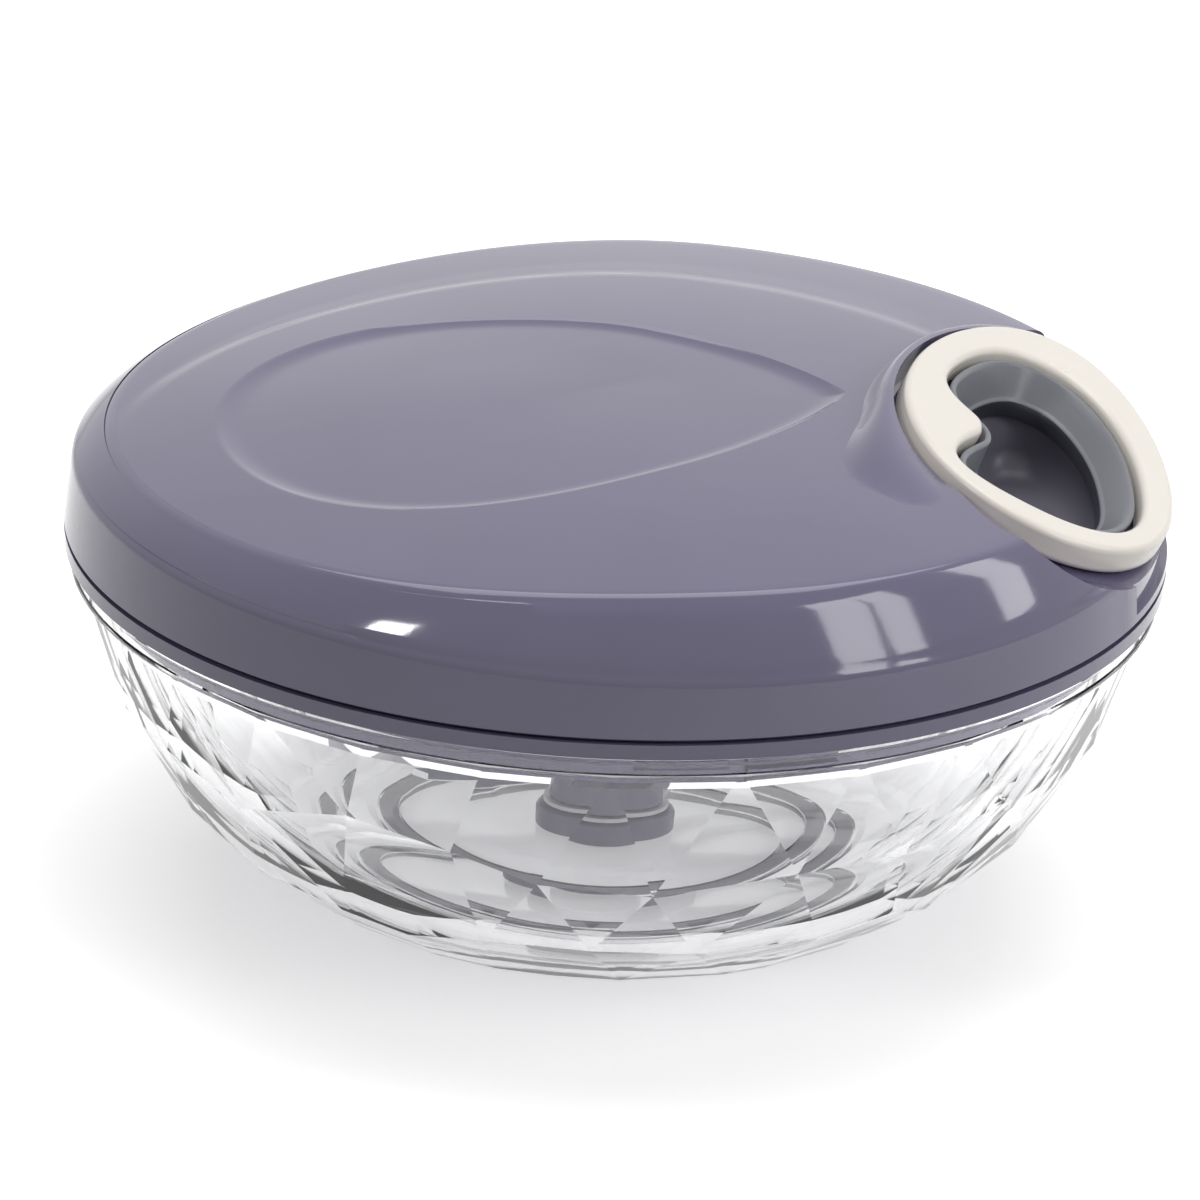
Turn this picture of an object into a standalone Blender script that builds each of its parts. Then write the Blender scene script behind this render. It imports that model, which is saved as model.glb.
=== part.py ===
"""Pull-cord food chopper: clear faceted bowl, blade column, and a lid that holds a sprung cord reel.

Metres, +Z up. The origin is the middle of the foot, on the table; the pull ring points along +X.
"""

import math
import random

import bmesh
import bpy
from mathutils import Matrix, Vector

MM = 0.001
DEG = math.pi / 180.0

# Clearances between pieces that touch or run on each other.
FIT = 0.3 * MM
RUN = 0.4 * MM

# Bowl.
BOWL_RADIUS = 74.0 * MM
BASE_RADIUS = 36.2 * MM
BOWL_HEIGHT = 49.1 * MM
BASE_LIFT = 2.0 * MM
CURVE_ABOVE = 8.5 * MM
CURVE_POWER = 0.58
BOWL_WALL = 3.0 * MM
FLOOR_THICK = 2.6 * MM
RIM_BAND = 2.6 * MM
RIM_PROUD = 0.3 * MM
FACET_COLUMNS = 28
FACET_ROWS = (0.63, 0.28, 0.05)
FACET_SWAY = 0.26
FACET_SEED = 11
BORE_DEPTH = 5.4 * MM

FOOT_LAND = 1.2 * MM
FOOT_WIDTH = 4.4 * MM
FOOT_HEIGHT = 3.2 * MM

# Blade column.
BOSS_RADIUS = 4.2 * MM
BOSS_HEIGHT = 3.0 * MM
PIN_RADIUS = 1.25 * MM
PIN_LENGTH = 9.5 * MM
SHAFT_HUB_RADIUS = 10.0 * MM
SHAFT_HUB_HEIGHT = 6.4 * MM
SPIGOT_RADIUS = 3.6 * MM
BLADE_THICK = 1.1 * MM
BLADE_CLEAR = 3.9 * MM
BLADE_ROOT = 8.4 * MM
BLADE_SWEEP = 46.0 * DEG
BLADE_WIDTH = 13.0 * MM
BLADE_COUNT = 3
SPACER_RADIUS = 7.2 * MM
CAP_RADIUS = 6.0 * MM
CAP_COLLAR = 2.6 * MM
DOG_HEIGHT = 5.4 * MM
DOG_THICK = 2.2 * MM
DOG_CORE = 3.1 * MM
DOG_BELOW = 2.2 * MM

# Lid base and bayonet.
LID_OVERHANG = 1.0 * MM
DECK_THICK = 2.0 * MM
SKIRT_CLEAR = 1.42 * MM
SKIRT_THICK = 2.0 * MM
SKIRT_DEPTH = 5.1 * MM
SEAL_HEIGHT = 1.2 * MM
SEAL_BITE = 0.6 * MM
LUG_COUNT = 3
LUG_HEIGHT = 1.2 * MM
LUG_WIDTH = 12.0 * MM
LUG_TURN = 12.0 * DEG
CATCH_ANGLE = -83.0 * DEG

# Reel mechanism.
POT_RADIUS = 30.4 * MM
POT_WALL = 1.6 * MM
POT_DEPTH = 6.5 * MM
POT_FLANGE = 5.8 * MM
POT_FLANGE_THICK = 1.5 * MM
SCREW_COUNT = 3
SCREW_RADIUS = 1.2 * MM
SCREW_HEAD = 2.5 * MM
SCREW_HEAD_THICK = 1.5 * MM
SCREW_GRIP = 10.0 * MM
PILLAR_RADIUS = 3.2 * MM
HUB_SOCKET = 6.9 * MM
HUB_WALL = 1.5 * MM
HUB_DROP = 6.8 * MM
HUB_WEB = 1.6 * MM
RATCHET_RADIUS = 12.0 * MM
RATCHET_ROOT = 9.6 * MM
RATCHET_TEETH = 8
RATCHET_THICK = 3.4 * MM
PAWL_CIRCLE = 16.5 * MM
PAWL_LAG = 35.0 * DEG
PAWL_THICK = 2.9 * MM
PAWL_PIN = 1.0 * MM
AXLE_RADIUS = 2.5 * MM
AXLE_HOLD = 12.0 * MM
SPOOL_RADIUS = 28.0 * MM
SPOOL_CORE = 20.6 * MM
SPOOL_CORE_WALL = 1.6 * MM
SPOOL_FLANGE = 1.5 * MM
SPOOL_GROOVE = 8.0 * MM
BOSS_TUBE = 5.0 * MM
SPRING_THICK = 0.4 * MM
SPRING_HEIGHT = 6.2 * MM
SPRING_TURNS = 5
CORD_RADIUS = 0.9 * MM
CORD_TURNS = 2.3
CORD_PITCH = 2.3 * MM

# Cover.
COVER_GAP = 0.5 * MM
COVER_WALL = 2.2 * MM
COVER_ROOF = 3.2 * MM
BOSS_FUSE = 2.2 * MM
BAND_LEAN = 1.0 * MM
BEVEL_WIDTH = 5.0 * MM
CREASE_LOW_NEAR = 7.1 * MM
CREASE_LOW_FAR = 9.5 * MM
CREASE_LOW_STEP = 4.8 * MM
STEP_ANGLE = 27.5 * DEG
STEP_SPREAD = 2.5 * DEG
CREASE_HIGH_NEAR = 17.6 * MM
CREASE_HIGH_FAR = 13.5 * MM
DOME_RISE = 5.4 * MM
COVER_SEGMENTS = 72
LEAF_TIP = Vector((30.0 * MM, -2.4 * MM))
LEAF_END = Vector((-54.0 * MM, -12.0 * MM))
LEAF_HALF_WIDTH = 35.0 * MM
LEAF_DEPTH = 1.3 * MM

# Pull ring, its seat in the cover and the finger well below it.
RING_INSET = 17.9 * MM
RING_SIDE = -0.4 * MM
RING_LIFT = 15.85 * MM
RING_TILT = 24.0 * DEG
RING_TURN = -7.3 * DEG
RING_DEPTH = 20.1 * MM
RING_WIDTH = 35.2 * MM
RING_POWER = 2.06
RING_TAPER = -0.187
RING_BOW = 0.35 * MM
HOLE_CENTRE = Vector((-0.2 * MM, -2.6 * MM))
HOLE_DEPTH = 15.4 * MM
HOLE_WIDTH = 26.3 * MM
HOLE_POWER = 2.4
HOLE_TAPER = -0.235
HOLE_BOW = -0.9 * MM
RING_TOP = 0.8 * MM
RING_THICK = 4.2 * MM
RING_ROUND = 1.2 * MM
TAB_REACH = 10.6 * MM
TAB_ANGLE = 228.0 * DEG
TAB_SLOW = 35.0 * DEG
TAB_FAST = 11.5 * DEG
SEAT_MARGIN = 1.0 * MM
LIP_SINK = 1.4 * MM
LIP_START = 86.0 * DEG
LIP_END = 205.0 * DEG
LIP_FADE = 22.0 * DEG
BEZEL_SINK = 1.2 * MM
BEZEL_GAP = 0.8 * MM
BEZEL_LIP = 0.8 * MM
BEZEL_DEPTH = 7.0 * MM
BEZEL_LEAN = 0.133
BEZEL_DRAFT = 1.0 * MM
BEZEL_SLOPE = 2.9 * MM
WELL_WALL = 1.2 * MM
TAB_BELOW = 0.7
ANCHOR = Vector((-14.2 * MM, -8.5 * MM))
KNOT_RADIUS = 1.9 * MM
KNOT_LENGTH = 2.4 * MM
GUIDE_RADIUS = 2.3 * MM
GUIDE_BORE = 1.3 * MM
GUIDE_AWAY = 5.24 * MM
GUIDE_ANGLE = -21.16 * DEG
GUIDE_HEIGHT = 3.9 * MM
GUIDE_MOUTH = 2.2 * MM
GUIDE_CORNER = Vector((1.8 * MM, 0.8 * MM, 0.8 * MM))
GUIDE_BEND = 2.6 * MM
GUIDE_FOOT = 9.0 * MM
CUT_ABOVE = 40.0 * MM

# Radii that follow from the sizes above.
CURVE_HEIGHT = BOWL_HEIGHT - BASE_LIFT + CURVE_ABOVE
LID_RADIUS = BOWL_RADIUS + LID_OVERHANG
CREASE_LOW_RADIUS = LID_RADIUS - BAND_LEAN
CREASE_HIGH_RADIUS = CREASE_LOW_RADIUS - BEVEL_WIDTH
FOOT_INNER = BASE_RADIUS - FOOT_LAND - FOOT_WIDTH


def bowl_radius(height):
    """Outer radius of the bowl at a height: a superellipse that stands on the base circle."""
    rise = min(1.0, max(0.0, (height - BASE_LIFT) / CURVE_HEIGHT))
    return BASE_RADIUS + (BOWL_RADIUS - BASE_RADIUS) * (1.0 - (1.0 - rise) ** 2) ** CURVE_POWER


def bowl_inside(height):
    return bowl_radius(height - 0.6 * BOWL_WALL) - BOWL_WALL


BORE_RADIUS = bowl_inside(BOWL_HEIGHT - BORE_DEPTH)
SKIRT_RADIUS = BORE_RADIUS - SKIRT_CLEAR

# Heights that follow from the sizes above.
DECK_BOTTOM = BOWL_HEIGHT + FIT
DECK_TOP = DECK_BOTTOM + DECK_THICK
COVER_BOTTOM = DECK_TOP + COVER_GAP
GAP_LINE = DECK_TOP + 0.5 * COVER_GAP
POT_TOP = DECK_BOTTOM - FIT
POT_BOTTOM = POT_TOP - POT_DEPTH
HUB_TOP_FACE = POT_BOTTOM + POT_WALL + RUN
RATCHET_TOP = HUB_TOP_FACE + RATCHET_THICK
SPOOL_BOTTOM = RATCHET_TOP + FIT
GROOVE_BOTTOM = SPOOL_BOTTOM + SPOOL_FLANGE
GROOVE_TOP = GROOVE_BOTTOM + SPOOL_GROOVE
SPOOL_TOP = GROOVE_TOP + SPOOL_FLANGE
SPOOL_HUB_TOP = GROOVE_BOTTOM + 2.7 * MM
BOSS_TUBE_BOTTOM = SPOOL_HUB_TOP + FIT
CORD_CIRCLE = SPOOL_CORE + FIT + CORD_RADIUS
FLOOR_TOP = BASE_LIFT + FLOOR_THICK
BOSS_TOP = FLOOR_TOP + BOSS_HEIGHT
SHAFT_SEAT = FLOOR_TOP + 0.9 * MM + SHAFT_HUB_HEIGHT
DOG_TOP = POT_BOTTOM - DOG_BELOW
CAP_BOTTOM = DOG_TOP - DOG_HEIGHT - CAP_COLLAR
TOP_BLADE = CAP_BOTTOM - FIT - BLADE_THICK
LEVEL_STEP = (TOP_BLADE - FIT - SHAFT_SEAT) / (BLADE_COUNT - 1)
SPACER_HEIGHT = LEVEL_STEP - 2.0 * FIT - BLADE_THICK
BLADE_REACH = bowl_inside(SHAFT_SEAT) - BLADE_CLEAR

RING_CENTRE = Vector((LID_RADIUS - RING_INSET, RING_SIDE, GAP_LINE + RING_LIFT))
RING_FRAME = (
    Matrix.Translation(RING_CENTRE)
    @ Matrix.Rotation(RING_TURN, 4, "Z")
    @ Matrix.Rotation(RING_TILT, 4, "Y")
)
PULL = RING_FRAME.to_3x3() @ Vector((0.0, 0.0, 1.0))


def clear_scene():
    for obj in list(bpy.data.objects):
        bpy.data.objects.remove(obj, do_unlink=True)


def new_collection(name, hidden=False):
    collection = bpy.data.collections.new(name)
    bpy.context.scene.collection.children.link(collection)
    collection.hide_render = hidden
    return collection


def linear(value):
    value /= 255.0
    return value / 12.92 if value <= 0.04045 else ((value + 0.055) / 1.055) ** 2.4


def material(name, colour, roughness, metallic=0.0, clear=0.0):
    made = bpy.data.materials.new(name)
    made.use_nodes = True
    shader = made.node_tree.nodes["Principled BSDF"]
    shader.inputs["Base Color"].default_value = (*[linear(c) for c in colour], 1.0)
    shader.inputs["Roughness"].default_value = roughness
    shader.inputs["Metallic"].default_value = metallic
    shader.inputs["Transmission Weight"].default_value = clear
    return made


def place(name, mesh, made, collection):
    obj = bpy.data.objects.new(name, mesh)
    collection.objects.link(obj)
    if made:
        mesh.materials.append(made)
    if collection.hide_render:
        obj.hide_render = True
        obj.display_type = "WIRE"
    return obj


def finish_mesh(bm, name):
    mesh = bpy.data.meshes.new(name)
    bm.to_mesh(mesh)
    bm.free()
    mesh.shade_smooth()
    mesh.set_sharp_from_angle(angle=35.0 * DEG)
    return mesh


def turned(name, profile, made, collection, segments=64, closed=True):
    """A profile of (radius, height) pairs turned about Z. Its outer side runs from top to bottom."""
    bm = bmesh.new()
    verts = [bm.verts.new((radius, 0.0, height)) for radius, height in profile]
    for a, b in zip(verts, verts[1:]):
        bm.edges.new((a, b))
    if closed:
        bm.edges.new((verts[-1], verts[0]))
    obj = place(name, finish_mesh(bm, name), made, collection)
    screw = obj.modifiers.new("Turn", "SCREW")
    screw.axis = "Z"
    screw.steps = segments
    screw.render_steps = segments
    screw.use_merge_vertices = True
    screw.merge_threshold = 0.00001
    return obj


def cylinder(name, radius, bottom, top, made, collection, centre=(0.0, 0.0), segments=24):
    bm = bmesh.new()
    bmesh.ops.create_cone(
        bm,
        cap_ends=True,
        segments=segments,
        radius1=radius,
        radius2=radius,
        depth=top - bottom,
        matrix=Matrix.Translation((centre[0], centre[1], 0.5 * (bottom + top))),
    )
    return place(name, finish_mesh(bm, name), made, collection)


def box(name, size, centre, made, collection, turn=0.0):
    bm = bmesh.new()
    scale = Matrix.Diagonal((*size, 1.0))
    spin = Matrix.Rotation(turn, 4, "Z")
    bmesh.ops.create_cube(bm, size=1.0, matrix=spin @ Matrix.Translation(centre) @ scale)
    return place(name, finish_mesh(bm, name), made, collection)


def meshed(curve_object, made):
    """Turns a curve object into a mesh object of the same name, with its caps welded."""
    name = curve_object.name
    collection = curve_object.users_collection[0]
    graph = bpy.context.evaluated_depsgraph_get()
    mesh = bpy.data.meshes.new_from_object(curve_object.evaluated_get(graph))
    matrix = curve_object.matrix_world.copy()
    bpy.data.objects.remove(curve_object, do_unlink=True)
    mesh.materials.clear()
    bm = bmesh.new()
    bm.from_mesh(mesh)
    bmesh.ops.remove_doubles(bm, verts=bm.verts, dist=0.000002)
    bm.to_mesh(mesh)
    bm.free()
    mesh.shade_smooth()
    mesh.set_sharp_from_angle(angle=35.0 * DEG)
    obj = place(name, mesh, made, collection)
    obj.matrix_world = matrix
    return obj


def add_spline(curve, points, cyclic):
    spline = curve.splines.new("POLY")
    spline.points.add(len(points) - 1)
    for point, place_at in zip(spline.points, points):
        point.co = (*place_at, 1.0)
    spline.use_cyclic_u = cyclic
    return spline


def plate(name, outlines, bottom, top, made, collection, rounding=0.0, matrix=None):
    """A flat plate with the given outline, and a hole for each further one."""
    curve = bpy.data.curves.new(name, "CURVE")
    curve.dimensions = "2D"
    curve.fill_mode = "BOTH"
    curve.extrude = 0.5 * (top - bottom) - rounding
    curve.bevel_depth = rounding
    curve.bevel_resolution = 1
    for outline in outlines:
        add_spline(curve, [(x, y, 0.0) for x, y in outline], True)
    obj = bpy.data.objects.new(name, curve)
    collection.objects.link(obj)
    obj.matrix_world = (matrix or Matrix()) @ Matrix.Translation((0.0, 0.0, 0.5 * (bottom + top)))
    bpy.context.view_layer.update()
    return meshed(obj, made)


def tube(name, points, radius, made, collection, resolution=2):
    curve = bpy.data.curves.new(name, "CURVE")
    curve.dimensions = "3D"
    curve.bevel_depth = radius
    curve.bevel_resolution = resolution
    curve.use_fill_caps = True
    add_spline(curve, points, False)
    obj = bpy.data.objects.new(name, curve)
    collection.objects.link(obj)
    bpy.context.view_layer.update()
    return meshed(obj, made)


def loft(name, loops, made, collection, ring=False, caps=False):
    """A skin over loops of equal length. A ring closes last to first; caps fill both ends."""
    bm = bmesh.new()
    rows = [[bm.verts.new(point) for point in loop] for loop in loops]
    pairs = list(zip(rows, rows[1:]))
    if ring:
        pairs.append((rows[-1], rows[0]))
    for lower, upper in pairs:
        count = len(lower)
        for i in range(count):
            j = (i + 1) % count
            bm.faces.new((lower[i], lower[j], upper[j], upper[i]))
    if caps:
        bm.faces.new(rows[0])
        bm.faces.new(rows[-1])
    bmesh.ops.recalc_face_normals(bm, faces=bm.faces)
    return place(name, finish_mesh(bm, name), made, collection)


def under_roof(x, y):
    """A height inside the thickness of the lid's top, where bosses join it."""
    return GAP_LINE + dome_height(x, y) - BOSS_FUSE


def boolean(obj, other, operation="DIFFERENCE"):
    modifier = obj.modifiers.new(f"{operation.title()} {other.name}", "BOOLEAN")
    modifier.operation = operation
    modifier.object = other
    modifier.solver = "EXACT"
    return modifier


def polar(radius, angle):
    return (radius * math.cos(angle), radius * math.sin(angle))


def circle(radius, count, centre=(0.0, 0.0)):
    steps = [2.0 * math.pi * i / count for i in range(count)]
    return [(centre[0] + radius * math.cos(a), centre[1] + radius * math.sin(a)) for a in steps]


def facet_loops():
    """Rows of facet corners, swayed at random by a fixed seed, from the rim band down to the base."""
    rng = random.Random(FACET_SEED)
    top = BOWL_HEIGHT - RIM_BAND
    levels = [top] + [BASE_LIFT + share * (top - BASE_LIFT) for share in FACET_ROWS] + [BASE_LIFT]
    step = 2.0 * math.pi / FACET_COLUMNS
    rows = []
    for index, level in enumerate(levels):
        inner_row = 0 < index < len(levels) - 1
        row = []
        for column in range(FACET_COLUMNS):
            angle = (column + 0.5 * (index % 2)) * step
            height = level
            if inner_row:
                gap = min(levels[index - 1] - level, level - levels[index + 1])
                angle += rng.uniform(-FACET_SWAY, FACET_SWAY) * step
                height += rng.uniform(-FACET_SWAY, FACET_SWAY) * gap
            row.append((*polar(bowl_radius(height), angle), height))
        rows.append(row)
    return rows


def faceted_body(made, collection):
    bm = bmesh.new()
    rows = [[bm.verts.new(point) for point in row] for row in facet_loops()]
    count = FACET_COLUMNS
    for index, (upper, lower) in enumerate(zip(rows, rows[1:])):
        shift = index % 2
        for i in range(count):
            j = (i + 1) % count
            if shift:
                bm.faces.new((upper[i], lower[j], upper[j]))
                bm.faces.new((upper[i], lower[i], lower[j]))
            else:
                bm.faces.new((upper[i], lower[i], upper[j]))
                bm.faces.new((upper[j], lower[i], lower[j]))
    bm.faces.new(rows[0])
    bm.faces.new(rows[-1])
    bmesh.ops.recalc_face_normals(bm, faces=bm.faces)
    mesh = bpy.data.meshes.new("bowl")
    bm.to_mesh(mesh)
    bm.free()
    return place("bowl", mesh, made, collection)


def arc_block(name, inner, outer, bottom, top, middle, width, made, collection):
    """A block that follows a circle about Z, width long at its outer radius."""
    half = 0.5 * width / outer
    steps = [middle + half * t for t in (-1.0, -0.5, 0.0, 0.5, 1.0)]
    outline = [polar(outer, a) for a in steps] + [polar(inner, a) for a in reversed(steps)]
    return plate(name, [outline], bottom, top, made, collection)


def build_bowl(parts, cutters, clear, steel, rubber):
    bowl = faceted_body(clear, parts)
    rim_bottom = BOWL_HEIGHT - RIM_BAND - 0.4 * MM
    rim_radius = BOWL_RADIUS + RIM_PROUD
    rim = turned(
        "rim_blank",
        [
            (0.0, BOWL_HEIGHT),
            (rim_radius - 0.5 * MM, BOWL_HEIGHT),
            (rim_radius, BOWL_HEIGHT - 0.5 * MM),
            (rim_radius, rim_bottom),
            (0.0, rim_bottom),
        ],
        None,
        cutters,
        segments=60,
        closed=False,
    )
    boolean(bowl, rim, "UNION")
    straight = BOWL_HEIGHT - BORE_DEPTH
    heights = [FLOOR_TOP + (straight - FLOOR_TOP) * (i / 7.0) ** 1.7 for i in range(8)]
    bore = BORE_RADIUS
    inside = [(0.0, BOWL_HEIGHT + 5.0 * MM), (bore + 0.6 * MM, BOWL_HEIGHT + 5.0 * MM)]
    inside += [(bore + 0.6 * MM, BOWL_HEIGHT), (bore, BOWL_HEIGHT - 0.8 * MM)]
    inside += [(bowl_inside(height), height) for height in reversed(heights)]
    inside += [(0.0, FLOOR_TOP)]
    cavity = turned("bowl_cavity", inside, None, cutters, segments=48, closed=False)
    boolean(bowl, cavity)
    boss = cylinder("bowl_boss", BOSS_RADIUS, FLOOR_TOP - 1.0 * MM, BOSS_TOP, None, cutters)
    boolean(bowl, boss, "UNION")
    pin_bottom = FLOOR_TOP - 0.6 * MM
    pin_bore = cylinder(
        "pin_bore", PIN_RADIUS + FIT, pin_bottom, BOSS_TOP + 2.0 * MM, None, cutters, segments=16
    )
    boolean(bowl, pin_bore)
    groove = turned(
        "foot_groove",
        [
            (FOOT_INNER + FOOT_WIDTH + FIT, FOOT_HEIGHT + FIT),
            (FOOT_INNER + FOOT_WIDTH + FIT, -1.0 * MM),
            (FOOT_INNER - FIT, -1.0 * MM),
            (FOOT_INNER - FIT, FOOT_HEIGHT + FIT),
        ],
        None,
        cutters,
        segments=48,
    )
    boolean(bowl, groove)
    catch_top = catch_bottom() + LUG_HEIGHT
    for index in range(LUG_COUNT):
        catch = arc_block(
            f"bowl_catch_{index + 1}",
            SKIRT_RADIUS + RUN,
            bore + 0.8 * MM,
            catch_bottom(),
            catch_top,
            CATCH_ANGLE + 2.0 * math.pi * index / LUG_COUNT,
            LUG_WIDTH,
            None,
            cutters,
        )
        boolean(bowl, catch, "UNION")
    turned(
        "foot_ring",
        [
            (FOOT_INNER + FOOT_WIDTH, FOOT_HEIGHT),
            (FOOT_INNER + FOOT_WIDTH, 0.0),
            (FOOT_INNER, 0.0),
            (FOOT_INNER, FOOT_HEIGHT),
        ],
        rubber,
        parts,
        segments=48,
    )
    pin_top = pin_bottom + PIN_LENGTH
    turned(
        "pivot_pin",
        [
            (0.0, pin_top),
            (PIN_RADIUS - 0.4 * MM, pin_top),
            (PIN_RADIUS, pin_top - 0.5 * MM),
            (PIN_RADIUS, pin_bottom + FIT),
            (0.0, pin_bottom + FIT),
        ],
        steel,
        parts,
        segments=20,
        closed=False,
    )


def catch_bottom():
    """Underside of the bowl's catches: the lid's lugs turn in below it."""
    return DECK_BOTTOM - SEAL_HEIGHT - 2.0 * FIT - 0.2 * MM - LUG_HEIGHT


def blade_outline(reach):
    """One wing that sweeps back as it leaves the hub, with a round root."""
    steps = 10
    front = []
    back = []
    for i in range(steps + 1):
        share = i / steps
        radius = BLADE_ROOT * 0.8 + (reach - BLADE_ROOT * 0.8) * share
        middle = -BLADE_SWEEP * share**1.6
        half = 0.5 * BLADE_WIDTH * (1.0 - 0.68 * share**1.4)
        front.append(polar(radius, middle + half / radius * (1.0 - 0.5 * share)))
        back.append(polar(radius, middle - half / radius))
    turn = math.atan2(front[0][1], front[0][0])
    root_steps = 12
    span = 2.0 * math.pi - 2.0 * turn
    root = [polar(BLADE_ROOT, -turn - span * k / root_steps) for k in range(1, root_steps)]
    return front + list(reversed(back)) + root


def build_blades(parts, cutters, grey, steel):
    pin_hole = PIN_RADIUS + RUN
    turned(
        "blade_shaft",
        [
            (0.0, CAP_BOTTOM + CAP_COLLAR - FIT),
            (SPIGOT_RADIUS, CAP_BOTTOM + CAP_COLLAR - FIT),
            (SPIGOT_RADIUS, SHAFT_SEAT),
            (SHAFT_HUB_RADIUS - 1.5 * MM, SHAFT_SEAT),
            (SHAFT_HUB_RADIUS, SHAFT_SEAT - 1.5 * MM),
            (SHAFT_HUB_RADIUS, SHAFT_SEAT - SHAFT_HUB_HEIGHT),
            (BOSS_RADIUS + RUN, SHAFT_SEAT - SHAFT_HUB_HEIGHT),
            (BOSS_RADIUS + RUN, BOSS_TOP + FIT),
            (pin_hole, BOSS_TOP + FIT),
            (pin_hole, FLOOR_TOP - 0.6 * MM + PIN_LENGTH + FIT),
            (0.0, FLOOR_TOP - 0.6 * MM + PIN_LENGTH + FIT),
        ],
        grey,
        parts,
        segments=24,
        closed=False,
    )
    names = ("lower", "middle", "upper")
    hole = circle(SPIGOT_RADIUS + FIT, 24)
    for index in range(BLADE_COUNT):
        bottom = SHAFT_SEAT + index * LEVEL_STEP + FIT
        turn = Matrix.Rotation((75.0 + 105.0 * index) * DEG, 4, "Z")
        plate(
            f"blade_{names[index]}",
            [blade_outline(BLADE_REACH), hole],
            bottom,
            bottom + BLADE_THICK,
            steel,
            parts,
            matrix=turn,
        )
        if index == BLADE_COUNT - 1:
            continue
        base = bottom + BLADE_THICK + FIT
        top = base + SPACER_HEIGHT
        turned(
            f"blade_spacer_{index + 1}",
            [
                (SPACER_RADIUS - 0.6 * MM, top),
                (SPACER_RADIUS, base),
                (SPIGOT_RADIUS + FIT, base),
                (SPIGOT_RADIUS + FIT, top),
            ],
            grey,
            parts,
            segments=24,
        )
    cap = turned(
        "shaft_cap",
        [
            (0.0, DOG_TOP),
            (DOG_CORE - 0.5 * MM, DOG_TOP),
            (DOG_CORE, DOG_TOP - 0.5 * MM),
            (DOG_CORE, CAP_BOTTOM + CAP_COLLAR + 0.6 * MM),
            (CAP_RADIUS, CAP_BOTTOM + CAP_COLLAR),
            (CAP_RADIUS, CAP_BOTTOM),
            (SPIGOT_RADIUS + FIT, CAP_BOTTOM),
            (SPIGOT_RADIUS + FIT, CAP_BOTTOM + CAP_COLLAR),
            (0.0, CAP_BOTTOM + CAP_COLLAR),
        ],
        grey,
        parts,
        segments=24,
        closed=False,
    )
    dog_bottom = CAP_BOTTOM + CAP_COLLAR - 0.4 * MM
    dogs = box(
        "dog_blank",
        (2.0 * (CAP_RADIUS - 0.2 * MM), DOG_THICK, DOG_TOP - 0.3 * MM - dog_bottom),
        (0.0, 0.0, 0.5 * (DOG_TOP - 0.3 * MM + dog_bottom)),
        None,
        cutters,
    )
    spigot_room = cylinder(
        "spigot_room",
        SPIGOT_RADIUS + FIT,
        CAP_BOTTOM - 1.0 * MM,
        CAP_BOTTOM + CAP_COLLAR,
        None,
        cutters,
    )
    boolean(dogs, spigot_room)
    boolean(cap, dogs, "UNION")


def build_lid_base(parts, cutters, purple, silicone):
    groove = SKIRT_RADIUS - SEAL_BITE
    seal_bottom = DECK_BOTTOM - FIT - SEAL_HEIGHT
    inner = SKIRT_RADIUS - SKIRT_THICK - SEAL_BITE
    skirt_bottom = DECK_BOTTOM - SKIRT_DEPTH
    hole = POT_RADIUS + 0.2 * MM
    base = turned(
        "lid_base",
        [
            (LID_RADIUS, DECK_TOP),
            (LID_RADIUS, DECK_BOTTOM),
            (groove, DECK_BOTTOM),
            (groove, seal_bottom - FIT),
            (SKIRT_RADIUS, seal_bottom - FIT),
            (SKIRT_RADIUS, skirt_bottom),
            (inner, skirt_bottom),
            (inner, DECK_BOTTOM),
            (hole, DECK_BOTTOM),
            (hole, DECK_TOP),
        ],
        purple,
        parts,
        segments=72,
    )
    lug_top = catch_bottom() - RUN
    for index in range(LUG_COUNT):
        lug = arc_block(
            f"lid_lug_{index + 1}",
            SKIRT_RADIUS - 0.8 * MM,
            BORE_RADIUS - RUN,
            lug_top - LUG_HEIGHT,
            lug_top,
            CATCH_ANGLE + LUG_TURN + 2.0 * math.pi * index / LUG_COUNT,
            LUG_WIDTH,
            None,
            cutters,
        )
        boolean(base, lug, "UNION")
    for index, centre in enumerate(screw_places()):
        hole_cutter = cylinder(
            f"deck_hole_{index + 1}",
            SCREW_RADIUS + FIT,
            DECK_BOTTOM - 1.0 * MM,
            DECK_TOP + 1.0 * MM,
            None,
            cutters,
            centre=centre,
            segments=16,
        )
        boolean(base, hole_cutter)
    turned(
        "lid_seal",
        [
            (BORE_RADIUS - FIT, seal_bottom + SEAL_HEIGHT),
            (BORE_RADIUS - FIT, seal_bottom),
            (groove + FIT, seal_bottom),
            (groove + FIT, seal_bottom + SEAL_HEIGHT),
        ],
        silicone,
        parts,
        segments=60,
    )


def screw_places():
    radius = POT_RADIUS + POT_WALL + 0.5 * POT_FLANGE
    return [polar(radius, math.pi / 3.0 + 2.0 * math.pi * i / SCREW_COUNT) for i in range(SCREW_COUNT)]


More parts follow.
